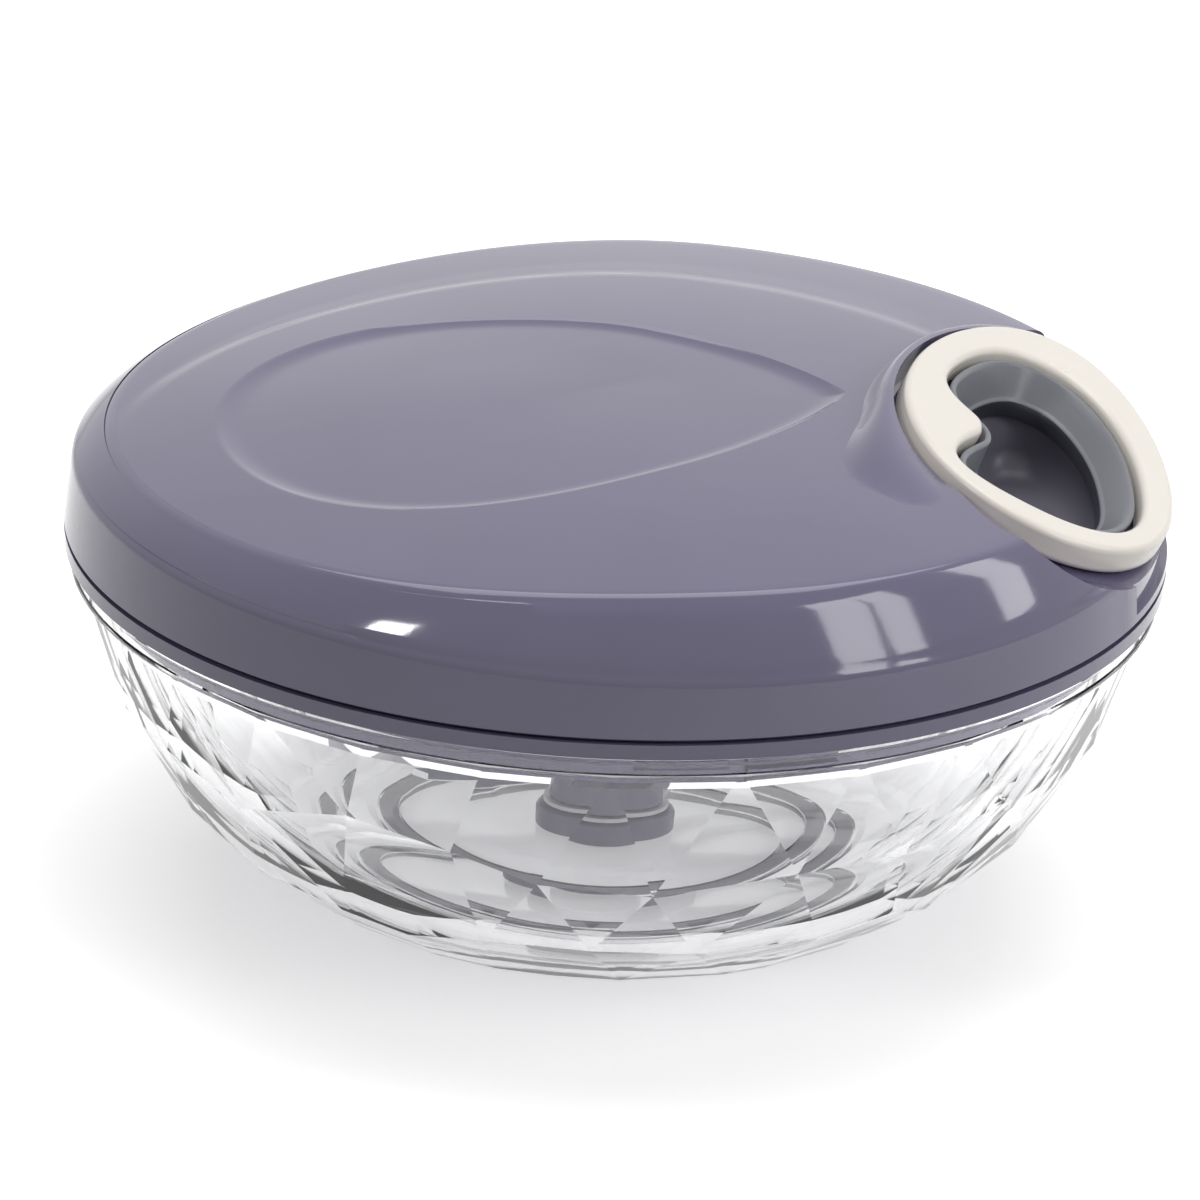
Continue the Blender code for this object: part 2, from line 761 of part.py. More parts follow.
def build_housing(parts, cutters, purple, steel):
    flange_bottom = POT_TOP - POT_FLANGE_THICK
    outer = POT_RADIUS + POT_WALL
    hub_hole = HUB_SOCKET + HUB_WALL + RUN
    housing = turned(
        "mechanism_housing",
        [
            (outer + POT_FLANGE, POT_TOP),
            (outer + POT_FLANGE, flange_bottom),
            (outer, flange_bottom),
            (outer - 1.0 * MM, POT_BOTTOM),
            (hub_hole, POT_BOTTOM),
            (hub_hole, POT_BOTTOM + POT_WALL),
            (POT_RADIUS - 1.0 * MM, POT_BOTTOM + POT_WALL),
            (POT_RADIUS, POT_TOP),
        ],
        purple,
        parts,
        segments=40,
    )
    screw_top = DECK_TOP + FIT + SCREW_GRIP
    for index, centre in enumerate(screw_places()):
        hole = cylinder(
            f"flange_hole_{index + 1}",
            SCREW_RADIUS + FIT,
            flange_bottom - 1.0 * MM,
            POT_TOP + 1.0 * MM,
            None,
            cutters,
            centre=centre,
            segments=16,
        )
        boolean(housing, hole)
        head_top = flange_bottom - FIT
        screw = turned(
            f"housing_screw_{index + 1}",
            [
                (0.0, screw_top),
                (SCREW_RADIUS - 0.5 * MM, screw_top),
                (SCREW_RADIUS, screw_top - 1.0 * MM),
                (SCREW_RADIUS, head_top),
                (SCREW_HEAD, head_top),
                (SCREW_HEAD, head_top - SCREW_HEAD_THICK + 0.5 * MM),
                (SCREW_HEAD - 0.5 * MM, head_top - SCREW_HEAD_THICK),
                (0.0, head_top - SCREW_HEAD_THICK),
            ],
            steel,
            parts,
            segments=16,
            closed=False,
        )
        screw.location = (*centre, 0.0)


def ratchet_outline():
    """Saw teeth whose steep faces look back along the drive stroke."""
    points = []
    pitch = 2.0 * math.pi / RATCHET_TEETH
    for tooth in range(RATCHET_TEETH):
        start = tooth * pitch
        points.append(polar(RATCHET_ROOT, start))
        points.append(polar(RATCHET_RADIUS, start + 0.05 * pitch))
        points.append(polar(0.5 * (RATCHET_RADIUS + RATCHET_ROOT), start + 0.52 * pitch))
    return points


def build_hub(parts, cutters, white):
    socket_bottom = POT_BOTTOM - HUB_DROP + HUB_WEB
    hub = turned(
        "drive_hub",
        [
            (HUB_SOCKET + HUB_WALL, HUB_TOP_FACE + HUB_WEB),
            (HUB_SOCKET + HUB_WALL, socket_bottom),
            (HUB_SOCKET, socket_bottom),
            (HUB_SOCKET, HUB_TOP_FACE),
            (AXLE_RADIUS + RUN, HUB_TOP_FACE),
            (AXLE_RADIUS + RUN, HUB_TOP_FACE + HUB_WEB),
        ],
        white,
        parts,
        segments=32,
    )
    wheel = plate(
        "ratchet_wheel",
        [ratchet_outline(), circle(HUB_SOCKET + 0.5 * HUB_WALL, 32)],
        HUB_TOP_FACE,
        RATCHET_TOP,
        None,
        cutters,
    )
    boolean(hub, wheel, "UNION")
    lug_depth = HUB_SOCKET - DOG_CORE - RUN
    for index, side in enumerate((-1.0, 1.0)):
        lug = box(
            f"socket_lug_{index + 1}",
            (DOG_THICK, lug_depth + 0.5 * HUB_WALL, DOG_TOP - socket_bottom - 0.8 * MM),
            (0.0, side * (DOG_CORE + RUN + 0.5 * (lug_depth + 0.5 * HUB_WALL)),
             0.5 * (DOG_TOP - 0.8 * MM + socket_bottom)),
            None,
            cutters,
        )
        boolean(hub, lug, "UNION")


def pawl_outline():
    """A tapered finger from its eye, at the origin, to a blunt tip that rests in a tooth gap."""
    eye = 2.7 * MM
    pin = Vector(polar(PAWL_CIRCLE, -PAWL_LAG))
    tip = Vector(polar(RATCHET_ROOT + 1.25 * MM, -1.9 * DEG)) - pin
    along = tip.normalized()
    across = Vector((-along.y, along.x))
    base = math.atan2(along.y, along.x)
    sweep = [base + (55.0 + 250.0 * k / 10.0) * DEG for k in range(11)]
    outline = [Vector(polar(eye, a)) for a in sweep]
    face = Vector(polar(1.0, -1.9 * DEG))
    outline.append(tip - along * 3.0 * MM - across * 1.0 * MM)
    outline.append(tip + face * 0.75 * MM)
    outline.append(tip - face * 0.75 * MM)
    outline.append(tip - along * 3.0 * MM + across * 0.75 * MM)
    return [(point.x, point.y) for point in outline]


def build_pawls(parts, white, steel):
    pin_top = GROOVE_BOTTOM - FIT
    pawl_bottom = HUB_TOP_FACE + 0.3 * MM
    for index in range(2):
        turn = math.pi * index + 2.0 * math.pi / RATCHET_TEETH * 2.0
        centre = polar(PAWL_CIRCLE, turn - PAWL_LAG)
        matrix = Matrix.Translation((*centre, 0.0)) @ Matrix.Rotation(turn, 4, "Z")
        plate(
            f"pawl_{index + 1}",
            [pawl_outline(), circle(PAWL_PIN + FIT, 14)],
            pawl_bottom,
            pawl_bottom + PAWL_THICK,
            white,
            parts,
            matrix=matrix,
        )
        pin = cylinder(
            f"pawl_pin_{index + 1}", PAWL_PIN, pawl_bottom, pin_top, steel, parts, segments=14
        )
        pin.location = (*centre, 0.0)


def build_reel(parts, cutters, white, steel, cord_grey):
    spool = turned(
        "spool",
        [
            (SPOOL_RADIUS, SPOOL_TOP),
            (SPOOL_RADIUS, GROOVE_TOP),
            (SPOOL_CORE, GROOVE_TOP),
            (SPOOL_CORE, GROOVE_BOTTOM),
            (SPOOL_RADIUS, GROOVE_BOTTOM),
            (SPOOL_RADIUS, SPOOL_BOTTOM),
            (AXLE_RADIUS + RUN, SPOOL_BOTTOM),
            (AXLE_RADIUS + RUN, SPOOL_HUB_TOP),
            (BOSS_TUBE - 0.4 * MM, SPOOL_HUB_TOP),
            (BOSS_TUBE - 0.4 * MM, GROOVE_BOTTOM),
            (SPOOL_CORE - SPOOL_CORE_WALL, GROOVE_BOTTOM),
            (SPOOL_CORE - SPOOL_CORE_WALL, SPOOL_TOP),
        ],
        white,
        parts,
        segments=40,
    )
    for index in range(2):
        turn = math.pi * index + 2.0 * math.pi / RATCHET_TEETH * 2.0
        hole = cylinder(
            f"spool_pin_hole_{index + 1}",
            PAWL_PIN + FIT,
            SPOOL_BOTTOM - 1.0 * MM,
            GROOVE_BOTTOM + 1.0 * MM,
            None,
            cutters,
            centre=polar(PAWL_CIRCLE, turn - PAWL_LAG),
            segments=14,
        )
        boolean(spool, hole)
    turned(
        "spring_cover",
        [
            (SPOOL_CORE, SPOOL_TOP + FIT + 0.8 * MM),
            (SPOOL_CORE, SPOOL_TOP + FIT),
            (BOSS_TUBE + RUN, SPOOL_TOP + FIT),
            (BOSS_TUBE + RUN, SPOOL_TOP + FIT + 0.8 * MM),
        ],
        steel,
        parts,
        segments=32,
    )
    build_spring(parts, steel)
    build_cord(parts, cord_grey)


def build_spring(parts, steel):
    inner = BOSS_TUBE + FIT + 0.5 * SPRING_THICK
    outer = SPOOL_CORE - SPOOL_CORE_WALL - FIT - 0.5 * SPRING_THICK
    bottom = GROOVE_BOTTOM + 0.5 * MM
    count = 18 * SPRING_TURNS
    bm = bmesh.new()
    rows = []
    for i in range(count + 1):
        share = i / count
        x, y = polar(inner + (outer - inner) * share, 2.0 * math.pi * SPRING_TURNS * share)
        rows.append([bm.verts.new((x, y, bottom)), bm.verts.new((x, y, bottom + SPRING_HEIGHT))])
    for a, b in zip(rows, rows[1:]):
        bm.faces.new((a[0], b[0], b[1], a[1]))
    obj = place("main_spring", finish_mesh(bm, "main_spring"), steel, parts)
    solid = obj.modifiers.new("Strip", "SOLIDIFY")
    solid.thickness = SPRING_THICK
    solid.offset = 0.0
    pitch = (outer - inner) / SPRING_TURNS
    print(f"main_spring: least gap between turns {(pitch - SPRING_THICK) / MM:.2f} mm")


def guide_inlet():
    """Where the cord enters the guide, and the angle on the reel where it leaves the winding."""
    inlet = Vector(polar(SPOOL_RADIUS + GUIDE_AWAY, GUIDE_ANGLE))
    leave = math.atan2(inlet.y, inlet.x) - math.acos(CORD_CIRCLE / inlet.length)
    return inlet, leave


def guide_route():
    """Points of the cord guide's middle line, from beside the reel up to the seat of the ring."""
    inlet, leave = guide_inlet()
    start = Vector(polar(CORD_CIRCLE, leave))
    along = (inlet - start).normalized()
    height = GROOVE_BOTTOM + GUIDE_HEIGHT
    mouth = inlet - along * GUIDE_MOUTH
    end = RING_FRAME @ Vector((ANCHOR.x, ANCHOR.y, RING_TOP - RING_THICK - FIT))
    foot = end - PULL * GUIDE_FOOT
    turn_in = Vector((*inlet, height))
    handles = [Vector((*mouth, height)), turn_in, turn_in + GUIDE_CORNER, foot - PULL * GUIDE_BEND]
    handles += [foot, end]
    return smooth_route(handles, 3)


def smooth_route(points, steps):
    """Catmull-Rom points through the given ones."""
    padded = [2.0 * points[0] - points[1]] + points + [2.0 * points[-1] - points[-2]]
    route = []
    for a, b, c, d in zip(padded, padded[1:], padded[2:], padded[3:]):
        for i in range(steps):
            t = i / steps
            route.append(
                0.5
                * (
                    2.0 * b
                    + (c - a) * t
                    + (2.0 * a - 5.0 * b + 4.0 * c - d) * t * t
                    + (3.0 * b - 3.0 * c + d - a) * t**3
                )
            )
    route.append(points[-1])
    return route


def build_cord(parts, cord_grey):
    _, leave = guide_inlet()
    low = GROOVE_BOTTOM + FIT + CORD_RADIUS
    count = int(18 * CORD_TURNS)
    winding = []
    for i in range(count + 1):
        back = 2.0 * math.pi * CORD_TURNS * i / count
        winding.append((*polar(CORD_CIRCLE, leave - back), low + CORD_PITCH * back / (2.0 * math.pi)))
    tube("cord_winding", winding, CORD_RADIUS, cord_grey, parts, resolution=1)
    print(f"cord_winding: least gap between turns {(CORD_PITCH - 2.0 * CORD_RADIUS) / MM:.2f} mm")
    route = guide_route()
    start = Vector((*polar(CORD_CIRCLE, leave), low))
    clear = math.sqrt((CORD_CIRCLE + 2.0 * CORD_RADIUS + FIT) ** 2 - CORD_CIRCLE**2)
    first = start + (route[0] - start).normalized() * clear
    run = [first + (route[0] - first) * (i / 4.0) for i in range(4)]
    tube("cord_run", run + route, CORD_RADIUS, cord_grey, parts, resolution=1)


def crease_share(angle):
    """1 at the ring's side of the lid, 0 opposite it."""
    return 0.5 * (1.0 + math.cos(angle))


def crease_high(angle):
    share = min(1.0, crease_share(angle) / 0.6)
    share = share * share * (3.0 - 2.0 * share)
    return CREASE_HIGH_FAR + (CREASE_HIGH_NEAR - CREASE_HIGH_FAR) * share


def crease_low(angle):
    """The lower crease climbs in a short step where the side wall runs up to the ring's outer end."""
    away = abs((angle + math.pi) % (2.0 * math.pi) - math.pi)
    step = min(1.0, max(0.0, 0.5 - 0.5 * (away - STEP_ANGLE) / STEP_SPREAD))
    base = CREASE_LOW_NEAR + (CREASE_LOW_FAR - CREASE_LOW_NEAR) * (1.0 - crease_share(angle)) ** 1.5
    return base + CREASE_LOW_STEP * step


def dome_height(x, y):
    """Height of the lid's top face above the gap line, inside its upper crease."""
    share = math.hypot(x, y) / CREASE_HIGH_RADIUS
    angle = math.atan2(y, x)
    middle = 0.5 * (CREASE_HIGH_NEAR + CREASE_HIGH_FAR) + 0.4 * MM
    lean = (crease_high(angle) - middle) * min(share, 1.0)
    return middle + lean + DOME_RISE * (1.0 - share * share)


def shell_loops(inset, drop, segments, shares):
    """Loops of the lid's outside, moved in by inset and down by drop, from its edge to near its middle."""
    angles = [2.0 * math.pi * i / segments for i in range(segments)]
    edge = COVER_BOTTOM - (drop and 2.0 * MM)
    loops = [[(*polar(LID_RADIUS - inset, a), edge) for a in angles]]
    low = [GAP_LINE + crease_low(a) - 0.3 * drop for a in angles]
    loops.append([(*polar(CREASE_LOW_RADIUS - inset, a), z) for a, z in zip(angles, low)])
    high = [GAP_LINE + crease_high(a) - drop for a in angles]
    loops.append([(*polar(CREASE_HIGH_RADIUS - inset, a), z) for a, z in zip(angles, high)])
    for share in shares:
        radius = (CREASE_HIGH_RADIUS - inset) * share
        row = []
        for a in angles:
            x, y = polar(radius, a)
            row.append((x, y, GAP_LINE + dome_height(x, y) - drop))
        loops.append(row)
    return loops


def leaf_outline(share):
    """The teardrop of the lid's shallow recess, scaled about its middle by share."""
    axis = 0.5 * (LEAF_TIP - LEAF_END)
    middle = 0.5 * (LEAF_TIP + LEAF_END)
    across = Vector((-axis.y, axis.x)).normalized()
    widest = 0.841
    points = []
    for i in range(48):
        turn = 2.0 * math.pi * i / 48
        side = math.sin(turn) * abs(math.sin(0.5 * turn)) ** 0.6 / widest
        points.append(middle + share * (axis * math.cos(turn) + across * LEAF_HALF_WIDTH * side))
    return points


def leaf_cutter(cutters):
    loops = []
    for share in (0.1, 0.35, 0.6, 0.8, 0.92, 1.0, 1.08):
        row = []
        for point in leaf_outline(share):
            depth = LEAF_DEPTH * (1.0 - share**2)
            row.append((point.x, point.y, GAP_LINE + dome_height(point.x, point.y) - depth))
        loops.append(row)
    loops.append([(x, y, z + 8.0 * MM) for x, y, z in loops[-1]])
    return loft("leaf_cutter", loops, None, cutters, caps=True)


def egg_point(turn, depth, width, power, taper, bow):
    """A point of a superellipse whose depth tapers along its width and whose middle line bows."""
    c, s = math.cos(turn), math.sin(turn)
    side = math.copysign(abs(s) ** (2.0 / power), s)
    reach = math.copysign(abs(c) ** (2.0 / power), c)
    return depth * reach * (1.0 + taper * side) + bow * side * side, width * side


def ring_point(margin, turn):
    """A point of the ring's outer edge, moved out by margin."""
    return egg_point(turn, RING_DEPTH + margin, RING_WIDTH + margin, RING_POWER, RING_TAPER, RING_BOW)


def ring_outline(margin=0.0, count=48):
    return [ring_point(margin, 2.0 * math.pi * i / count) for i in range(count)]


def hole_point(turn, tab):
    """A point of the edge of the ring's opening, with the finger tab that reaches into it."""
    x, y = egg_point(turn, HOLE_DEPTH, HOLE_WIDTH, HOLE_POWER, HOLE_TAPER, HOLE_BOW)
    angle = math.atan2(y, x)
    away = (angle - TAB_ANGLE + math.pi) % (2.0 * math.pi) - math.pi
    spread = TAB_FAST if away > 0.0 else TAB_SLOW
    radius = math.hypot(x, y) - tab * TAB_REACH * math.exp(-((away / spread) ** 2))
    return HOLE_CENTRE + Vector(polar(radius, angle))


def hole_outline(inset=0.0, tab=1.0):
    """The ring's opening moved in by inset, square to its edge. A low tab value flattens the finger tab."""
    edge = []
    turn = 0.0
    while turn < 359.0:
        edge.append(hole_point(turn * DEG, tab))
        turn += 2.5 if 180.0 <= turn < 245.0 else 5.0
    points = []
    for i, point in enumerate(edge):
        along = (edge[(i + 1) % len(edge)] - edge[i - 1]).normalized()
        points.append(point + inset * Vector((-along.y, along.x)))
    return points


def at_ring(outline, height):
    """Outline points in the ring's plane, put at a height over it, as world points."""
    raise_to = height if callable(height) else (lambda x: height)
    return [RING_FRAME @ Vector((x, y, raise_to(x))) for x, y in outline]


def bezel_low(x):
    return -BEZEL_DEPTH + BEZEL_LEAN * x


def outside_height(x, y):
    """Height of the lid's outside over the gap line, on its top face or on the bevel round it."""
    radius = math.hypot(x, y)
    if radius <= CREASE_HIGH_RADIUS:
        return dome_height(x, y)
    angle = math.atan2(y, x)
    share = (radius - CREASE_HIGH_RADIUS) / (CREASE_LOW_RADIUS - CREASE_HIGH_RADIUS)
    return crease_high(angle) + (crease_low(angle) - crease_high(angle)) * min(share, 1.6)


def lip_loops():
    """Sections of the lip that swells out of the lid's top round the inner and far side of the ring."""
    count = 26
    crest = RING_TOP - LIP_SINK
    shape = ((-3.5, 1.0), (0.5, 1.0), (1.4, 0.86), (2.6, 0.45), (4.4, 0.1), (5.6, 0.0))
    loops = []
    for i in range(count + 1):
        turn = LIP_START + (LIP_END - LIP_START) * i / count
        rise = min(1.0, (turn - LIP_START) / LIP_FADE, (LIP_END - turn) / LIP_FADE)
        reach = min(1.0, 0.3 + (turn - LIP_START) / (60.0 * DEG))
        row = []
        for margin, share in shape:
            x, y = ring_point(SEAT_MARGIN + margin * reach * MM, turn)
            flat = RING_FRAME @ Vector((x, y, crest))
            skin = GAP_LINE + outside_height(flat.x, flat.y) - 0.6 * MM * (1.0 - rise * share)
            row.append((flat.x, flat.y, skin + share * rise * max(0.0, flat.z - skin)))
        last, first = row[-1], row[0]
        row.append((last[0], last[1], last[2] - 2.0 * MM))
        row.append((first[0], first[1], min(last[2], first[2]) - 2.0 * MM))
        loops.append(row)
    return loops


def build_cover(parts, cutters, purple):
    outside = shell_loops(0.0, 0.0, COVER_SEGMENTS, (0.84, 0.62, 0.4, 0.2, 0.06))
    cover = loft("lid_cover", outside, purple, parts, caps=True)
    boolean(cover, leaf_cutter(cutters))
    boolean(cover, loft("ring_lip", lip_loops(), None, cutters, caps=True), "UNION")
    seat = RING_TOP - RING_THICK - FIT
    pocket = loft(
        "ring_pocket",
        [at_ring(ring_outline(SEAT_MARGIN), seat), at_ring(ring_outline(SEAT_MARGIN), CUT_ABOVE)],
        None,
        cutters,
        caps=True,
    )
    boolean(cover, pocket)
    inside = shell_loops(COVER_WALL, COVER_ROOF, COVER_SEGMENTS // 2, (0.6, 0.2))
    hollow = loft("cover_hollow", inside, None, cutters, caps=True)
    roof = loft(
        "pocket_floor",
        [
            at_ring(ring_outline(SEAT_MARGIN + COVER_WALL), seat - COVER_WALL),
            at_ring(ring_outline(SEAT_MARGIN + COVER_WALL), CUT_ABOVE),
        ],
        None,
        cutters,
        caps=True,
    )
    boolean(hollow, roof)
    boolean(cover, hollow)
    wide = hole_outline(BEZEL_GAP - FIT)
    narrow = hole_outline(BEZEL_GAP + BEZEL_DRAFT - FIT, TAB_BELOW)
    well_hole = loft(
        "well_hole",
        [
            at_ring(narrow, -16.0 * MM),
            at_ring(narrow, bezel_low),
            at_ring(wide, RING_TOP - BEZEL_SINK),
            at_ring(wide, 20.0 * MM),
        ],
        None,
        cutters,
        caps=True,
    )
    boolean(cover, well_hole)
    for index, centre in enumerate(screw_places()):
        fuse = under_roof(*centre)
        pillar = turned(
            f"pillar_{index + 1}",
            [
                (PILLAR_RADIUS, fuse),
                (PILLAR_RADIUS, DECK_TOP + FIT),
                (SCREW_RADIUS + FIT, DECK_TOP + FIT),
                (SCREW_RADIUS + FIT, DECK_TOP + FIT + SCREW_GRIP + 1.0 * MM),
                (0.0, DECK_TOP + FIT + SCREW_GRIP + 1.0 * MM),
                (0.0, fuse),
            ],
            None,
            cutters,
            segments=20,
        )
        pillar.location = (*centre, 0.0)
        boolean(cover, pillar, "UNION")
    fuse = under_roof(0.0, 0.0)
    boss = turned(
        "axle_boss",
        [
            (0.0, fuse),
            (BOSS_TUBE, fuse),
            (BOSS_TUBE, BOSS_TUBE_BOTTOM),
            (AXLE_RADIUS + FIT, BOSS_TUBE_BOTTOM),
            (AXLE_RADIUS + FIT, BOSS_TUBE_BOTTOM + AXLE_HOLD),
            (0.0, BOSS_TUBE_BOTTOM + AXLE_HOLD),
        ],
        None,
        cutters,
        segments=32,
        closed=False,
    )
    boolean(cover, boss, "UNION")
    end = RING_FRAME @ Vector((ANCHOR.x, ANCHOR.y, seat))
    passage = tube(
        "guide_passage",
        [end - PULL * GUIDE_FOOT, end + PULL * 8.0 * MM],
        GUIDE_RADIUS + FIT,
        None,
        cutters,
        resolution=2,
    )
    boolean(cover, passage)


def build_axle(parts, cutters, steel):
    top = BOSS_TUBE_BOTTOM + AXLE_HOLD - FIT
    bottom = HUB_TOP_FACE - 0.2 * MM
    bore = SCREW_RADIUS + FIT
    turned(
        "spool_axle",
        [
            (0.0, top),
            (AXLE_RADIUS, top),
            (AXLE_RADIUS, bottom),
            (bore, bottom),
            (bore, bottom + 7.0 * MM),
            (0.0, bottom + 7.0 * MM),
        ],
        steel,
        parts,
        segments=24,
        closed=False,
    )
    washer_top = bottom - FIT
    turned(
        "axle_washer",
        [
            (HUB_SOCKET - 1.2 * MM, washer_top),
            (HUB_SOCKET - 1.2 * MM, washer_top - 0.6 * MM),
            (bore, washer_top - 0.6 * MM),
            (bore, washer_top),
        ],
        steel,
        parts,
        segments=24,
    )
    head_top = washer_top - 0.6 * MM - FIT
    turned(
        "axle_screw",
        [
            (0.0, bottom + 6.0 * MM),
            (SCREW_RADIUS, bottom + 6.0 * MM),
            (SCREW_RADIUS, head_top),
            (SCREW_HEAD, head_top),
            (SCREW_HEAD, head_top - 0.6 * MM),
            (SCREW_HEAD - 0.8 * MM, head_top - 1.2 * MM),
            (0.0, head_top - 1.2 * MM),
        ],
        steel,
        parts,
        segments=16,
        closed=False,
    )


def build_well(parts, purple_dark, dark):
    lift = RING_TOP - BEZEL_SINK
    slope = BEZEL_GAP + BEZEL_LIP + BEZEL_SLOPE
    loft(
        "well_bezel",
        [
            at_ring(hole_outline(BEZEL_GAP), lift),
            at_ring(hole_outline(BEZEL_GAP + BEZEL_LIP), lift),
            at_ring(hole_outline(slope, TAB_BELOW), bezel_low),
            at_ring(hole_outline(BEZEL_GAP + BEZEL_DRAFT, TAB_BELOW), bezel_low),
        ],
        dark,
        parts,
        ring=True,
    )
    under = BEZEL_GAP + BEZEL_DRAFT
    outer = at_ring(hole_outline(under, TAB_BELOW), lambda x: bezel_low(x) - FIT)
    inner = at_ring(hole_outline(under + WELL_WALL, TAB_BELOW), lambda x: bezel_low(x) - FIT)
    bottom = DECK_TOP + FIT
    loft(
        "grip_well",
        [
            [(p.x, p.y, bottom + WELL_WALL) for p in inner],
            inner,
            outer,
            [(p.x, p.y, bottom) for p in outer],
        ],
        purple_dark,
        parts,
        caps=True,
    )


def build_guide(parts, cutters, dark):
    route = guide_route()
    guide = tube("cord_guide", route, GUIDE_RADIUS, dark, parts, resolution=2)
    before = route[0] - (route[1] - route[0]).normalized() * 2.0 * MM
    after = route[-1] + PULL * 2.0 * MM
    bore = tube("guide_bore", [before] + route + [after], GUIDE_BORE, None, cutters, resolution=1)
    boolean(guide, bore)


def build_handle(parts, cutters, cream, steel):
    ring = plate(
        "handle_ring",
        [ring_outline(-RING_ROUND), hole_outline(-RING_ROUND)],
        RING_TOP - RING_THICK,
        RING_TOP,
        cream,
        parts,
        rounding=RING_ROUND,
        matrix=RING_FRAME,
    )
    underside = RING_TOP - RING_THICK
    start = RING_FRAME @ Vector((ANCHOR.x, ANCHOR.y, underside + 0.2 * MM))
    knot_bore = tube(
        "knot_bore",
        [start - PULL * 3.0 * MM, start + PULL * (KNOT_LENGTH + FIT)],
        KNOT_RADIUS + FIT,
        None,
        cutters,
        resolution=2,
    )
    boolean(ring, knot_bore)
    tube("cord_knot", [start, start + PULL * KNOT_LENGTH], KNOT_RADIUS, steel, parts, resolution=2)


def build():
    clear_scene()
    parts = new_collection("food_chopper")
    cutters = new_collection("cutters", hidden=True)
    clear = material("clear_bowl", (236, 240, 242), 0.04, clear=0.9)
    purple = material("slate_purple", (118, 114, 136), 0.18)
    purple_dark = material("slate_purple_dark", (84, 81, 98), 0.35)
    silicone = material("silicone", (104, 100, 118), 0.5)
    cream = material("cream", (238, 233, 224), 0.25)
    dark = material("dark_grey", (74, 76, 84), 0.4)
    grey = material("blade_plastic", (112, 109, 128), 0.3)
    white = material("nylon", (226, 226, 222), 0.45)
    steel = material("steel", (196, 198, 202), 0.22, metallic=1.0)
    cord_grey = material("cord", (222, 218, 210), 0.8)
    build_bowl(parts, cutters, clear, steel, silicone)
    build_blades(parts, cutters, grey, steel)
    build_lid_base(parts, cutters, purple, silicone)
    build_housing(parts, cutters, purple, steel)
    build_hub(parts, cutters, white)
    build_pawls(parts, white, steel)
    build_reel(parts, cutters, white, steel, cord_grey)
    build_axle(parts, cutters, steel)
    build_cover(parts, cutters, purple)
    build_well(parts, purple_dark, dark)
    build_guide(parts, cutters, dark)
    build_handle(parts, cutters, cream, steel)


build()
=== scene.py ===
"""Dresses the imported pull-cord food chopper: clear bowl, gloss lid and cream ring in a white studio.

Metres, +Z up, in the frame of the CAD part. Each piece follows the sizes of the node that it stands for.
"""

import random
from math import atan2, copysign, cos, exp, hypot, pi, sin

import bmesh
import bpy
from mathutils import Matrix, Vector


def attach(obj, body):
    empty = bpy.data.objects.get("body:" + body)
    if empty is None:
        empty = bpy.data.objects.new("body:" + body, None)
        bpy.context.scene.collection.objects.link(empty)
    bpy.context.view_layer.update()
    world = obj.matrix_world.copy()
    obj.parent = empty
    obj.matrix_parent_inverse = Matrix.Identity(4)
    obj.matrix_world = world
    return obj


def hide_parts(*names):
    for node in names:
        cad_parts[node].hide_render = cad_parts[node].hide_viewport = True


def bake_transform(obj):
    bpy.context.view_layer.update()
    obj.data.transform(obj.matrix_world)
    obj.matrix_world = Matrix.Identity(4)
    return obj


MM = 0.001
DEG = pi / 180.0
FULL_TURN = 2.0 * pi

# Camera: place, direction of view, roll and lens, as the photograph was taken.
CAMERA_PLACE = Vector((-10.63 * MM, -761.0 * MM, 351.8 * MM))
CAMERA_HEADING = 89.33 * DEG
CAMERA_PITCH = 22.27 * DEG
CAMERA_ROLL = 2.48 * DEG
CAMERA_LENS = 180.0
CAMERA_SENSOR = 36.0

# Clearances and driving sizes. Most are those of the CAD part. Only the scene has the bead of the rim, the
# swell of the bevel, the leaf's edge, the fold, the scoop, the tower's inset and the lip's lower part.
FIT = 0.3 * MM
RUN = 0.4 * MM
BOWL_RADIUS = 74.0 * MM
BASE_RADIUS = 36.2 * MM
BOWL_HEIGHT = 49.1 * MM
BASE_LIFT = 2.0 * MM
CURVE_ABOVE = 8.5 * MM
CURVE_POWER = 0.58
BOWL_WALL = 3.0 * MM
FLOOR_THICK = 2.6 * MM
RIM_BAND = 2.6 * MM
RIM_PROUD = 0.3 * MM
FACET_COLUMNS = 28
FACET_ROWS = (0.63, 0.28, 0.05)
FACET_SWAY = 0.26
FACET_SEED = 11
BORE_DEPTH = 5.4 * MM
FOOT_LAND = 1.2 * MM
FOOT_WIDTH = 4.4 * MM
FOOT_HEIGHT = 3.2 * MM
BOSS_RADIUS = 4.2 * MM
BOSS_HEIGHT = 3.0 * MM
PIN_RADIUS = 1.25 * MM
PIN_LENGTH = 9.5 * MM
SHAFT_HUB_RADIUS = 10.0 * MM
SHAFT_HUB_HEIGHT = 6.4 * MM
SPIGOT_RADIUS = 3.6 * MM
BLADE_THICK = 1.1 * MM
BLADE_CLEAR = 3.9 * MM
BLADE_ROOT = 8.4 * MM
BLADE_SWEEP = 46.0 * DEG
BLADE_WIDTH = 13.0 * MM
BLADE_COUNT = 3
BLADE_START = 75.0 * DEG
BLADE_PITCH = 105.0 * DEG
GRIND_WIDTH = 2.4 * MM
SPACER_RADIUS = 7.2 * MM
CAP_RADIUS = 6.0 * MM
CAP_COLLAR = 2.6 * MM
DOG_HEIGHT = 5.4 * MM
DOG_THICK = 2.2 * MM
DOG_CORE = 3.1 * MM
DOG_BELOW = 2.2 * MM
LID_OVERHANG = 1.0 * MM
DECK_THICK = 2.0 * MM
SKIRT_CLEAR = 1.42 * MM
SKIRT_THICK = 2.0 * MM
SKIRT_DEPTH = 5.1 * MM
SEAL_HEIGHT = 1.2 * MM
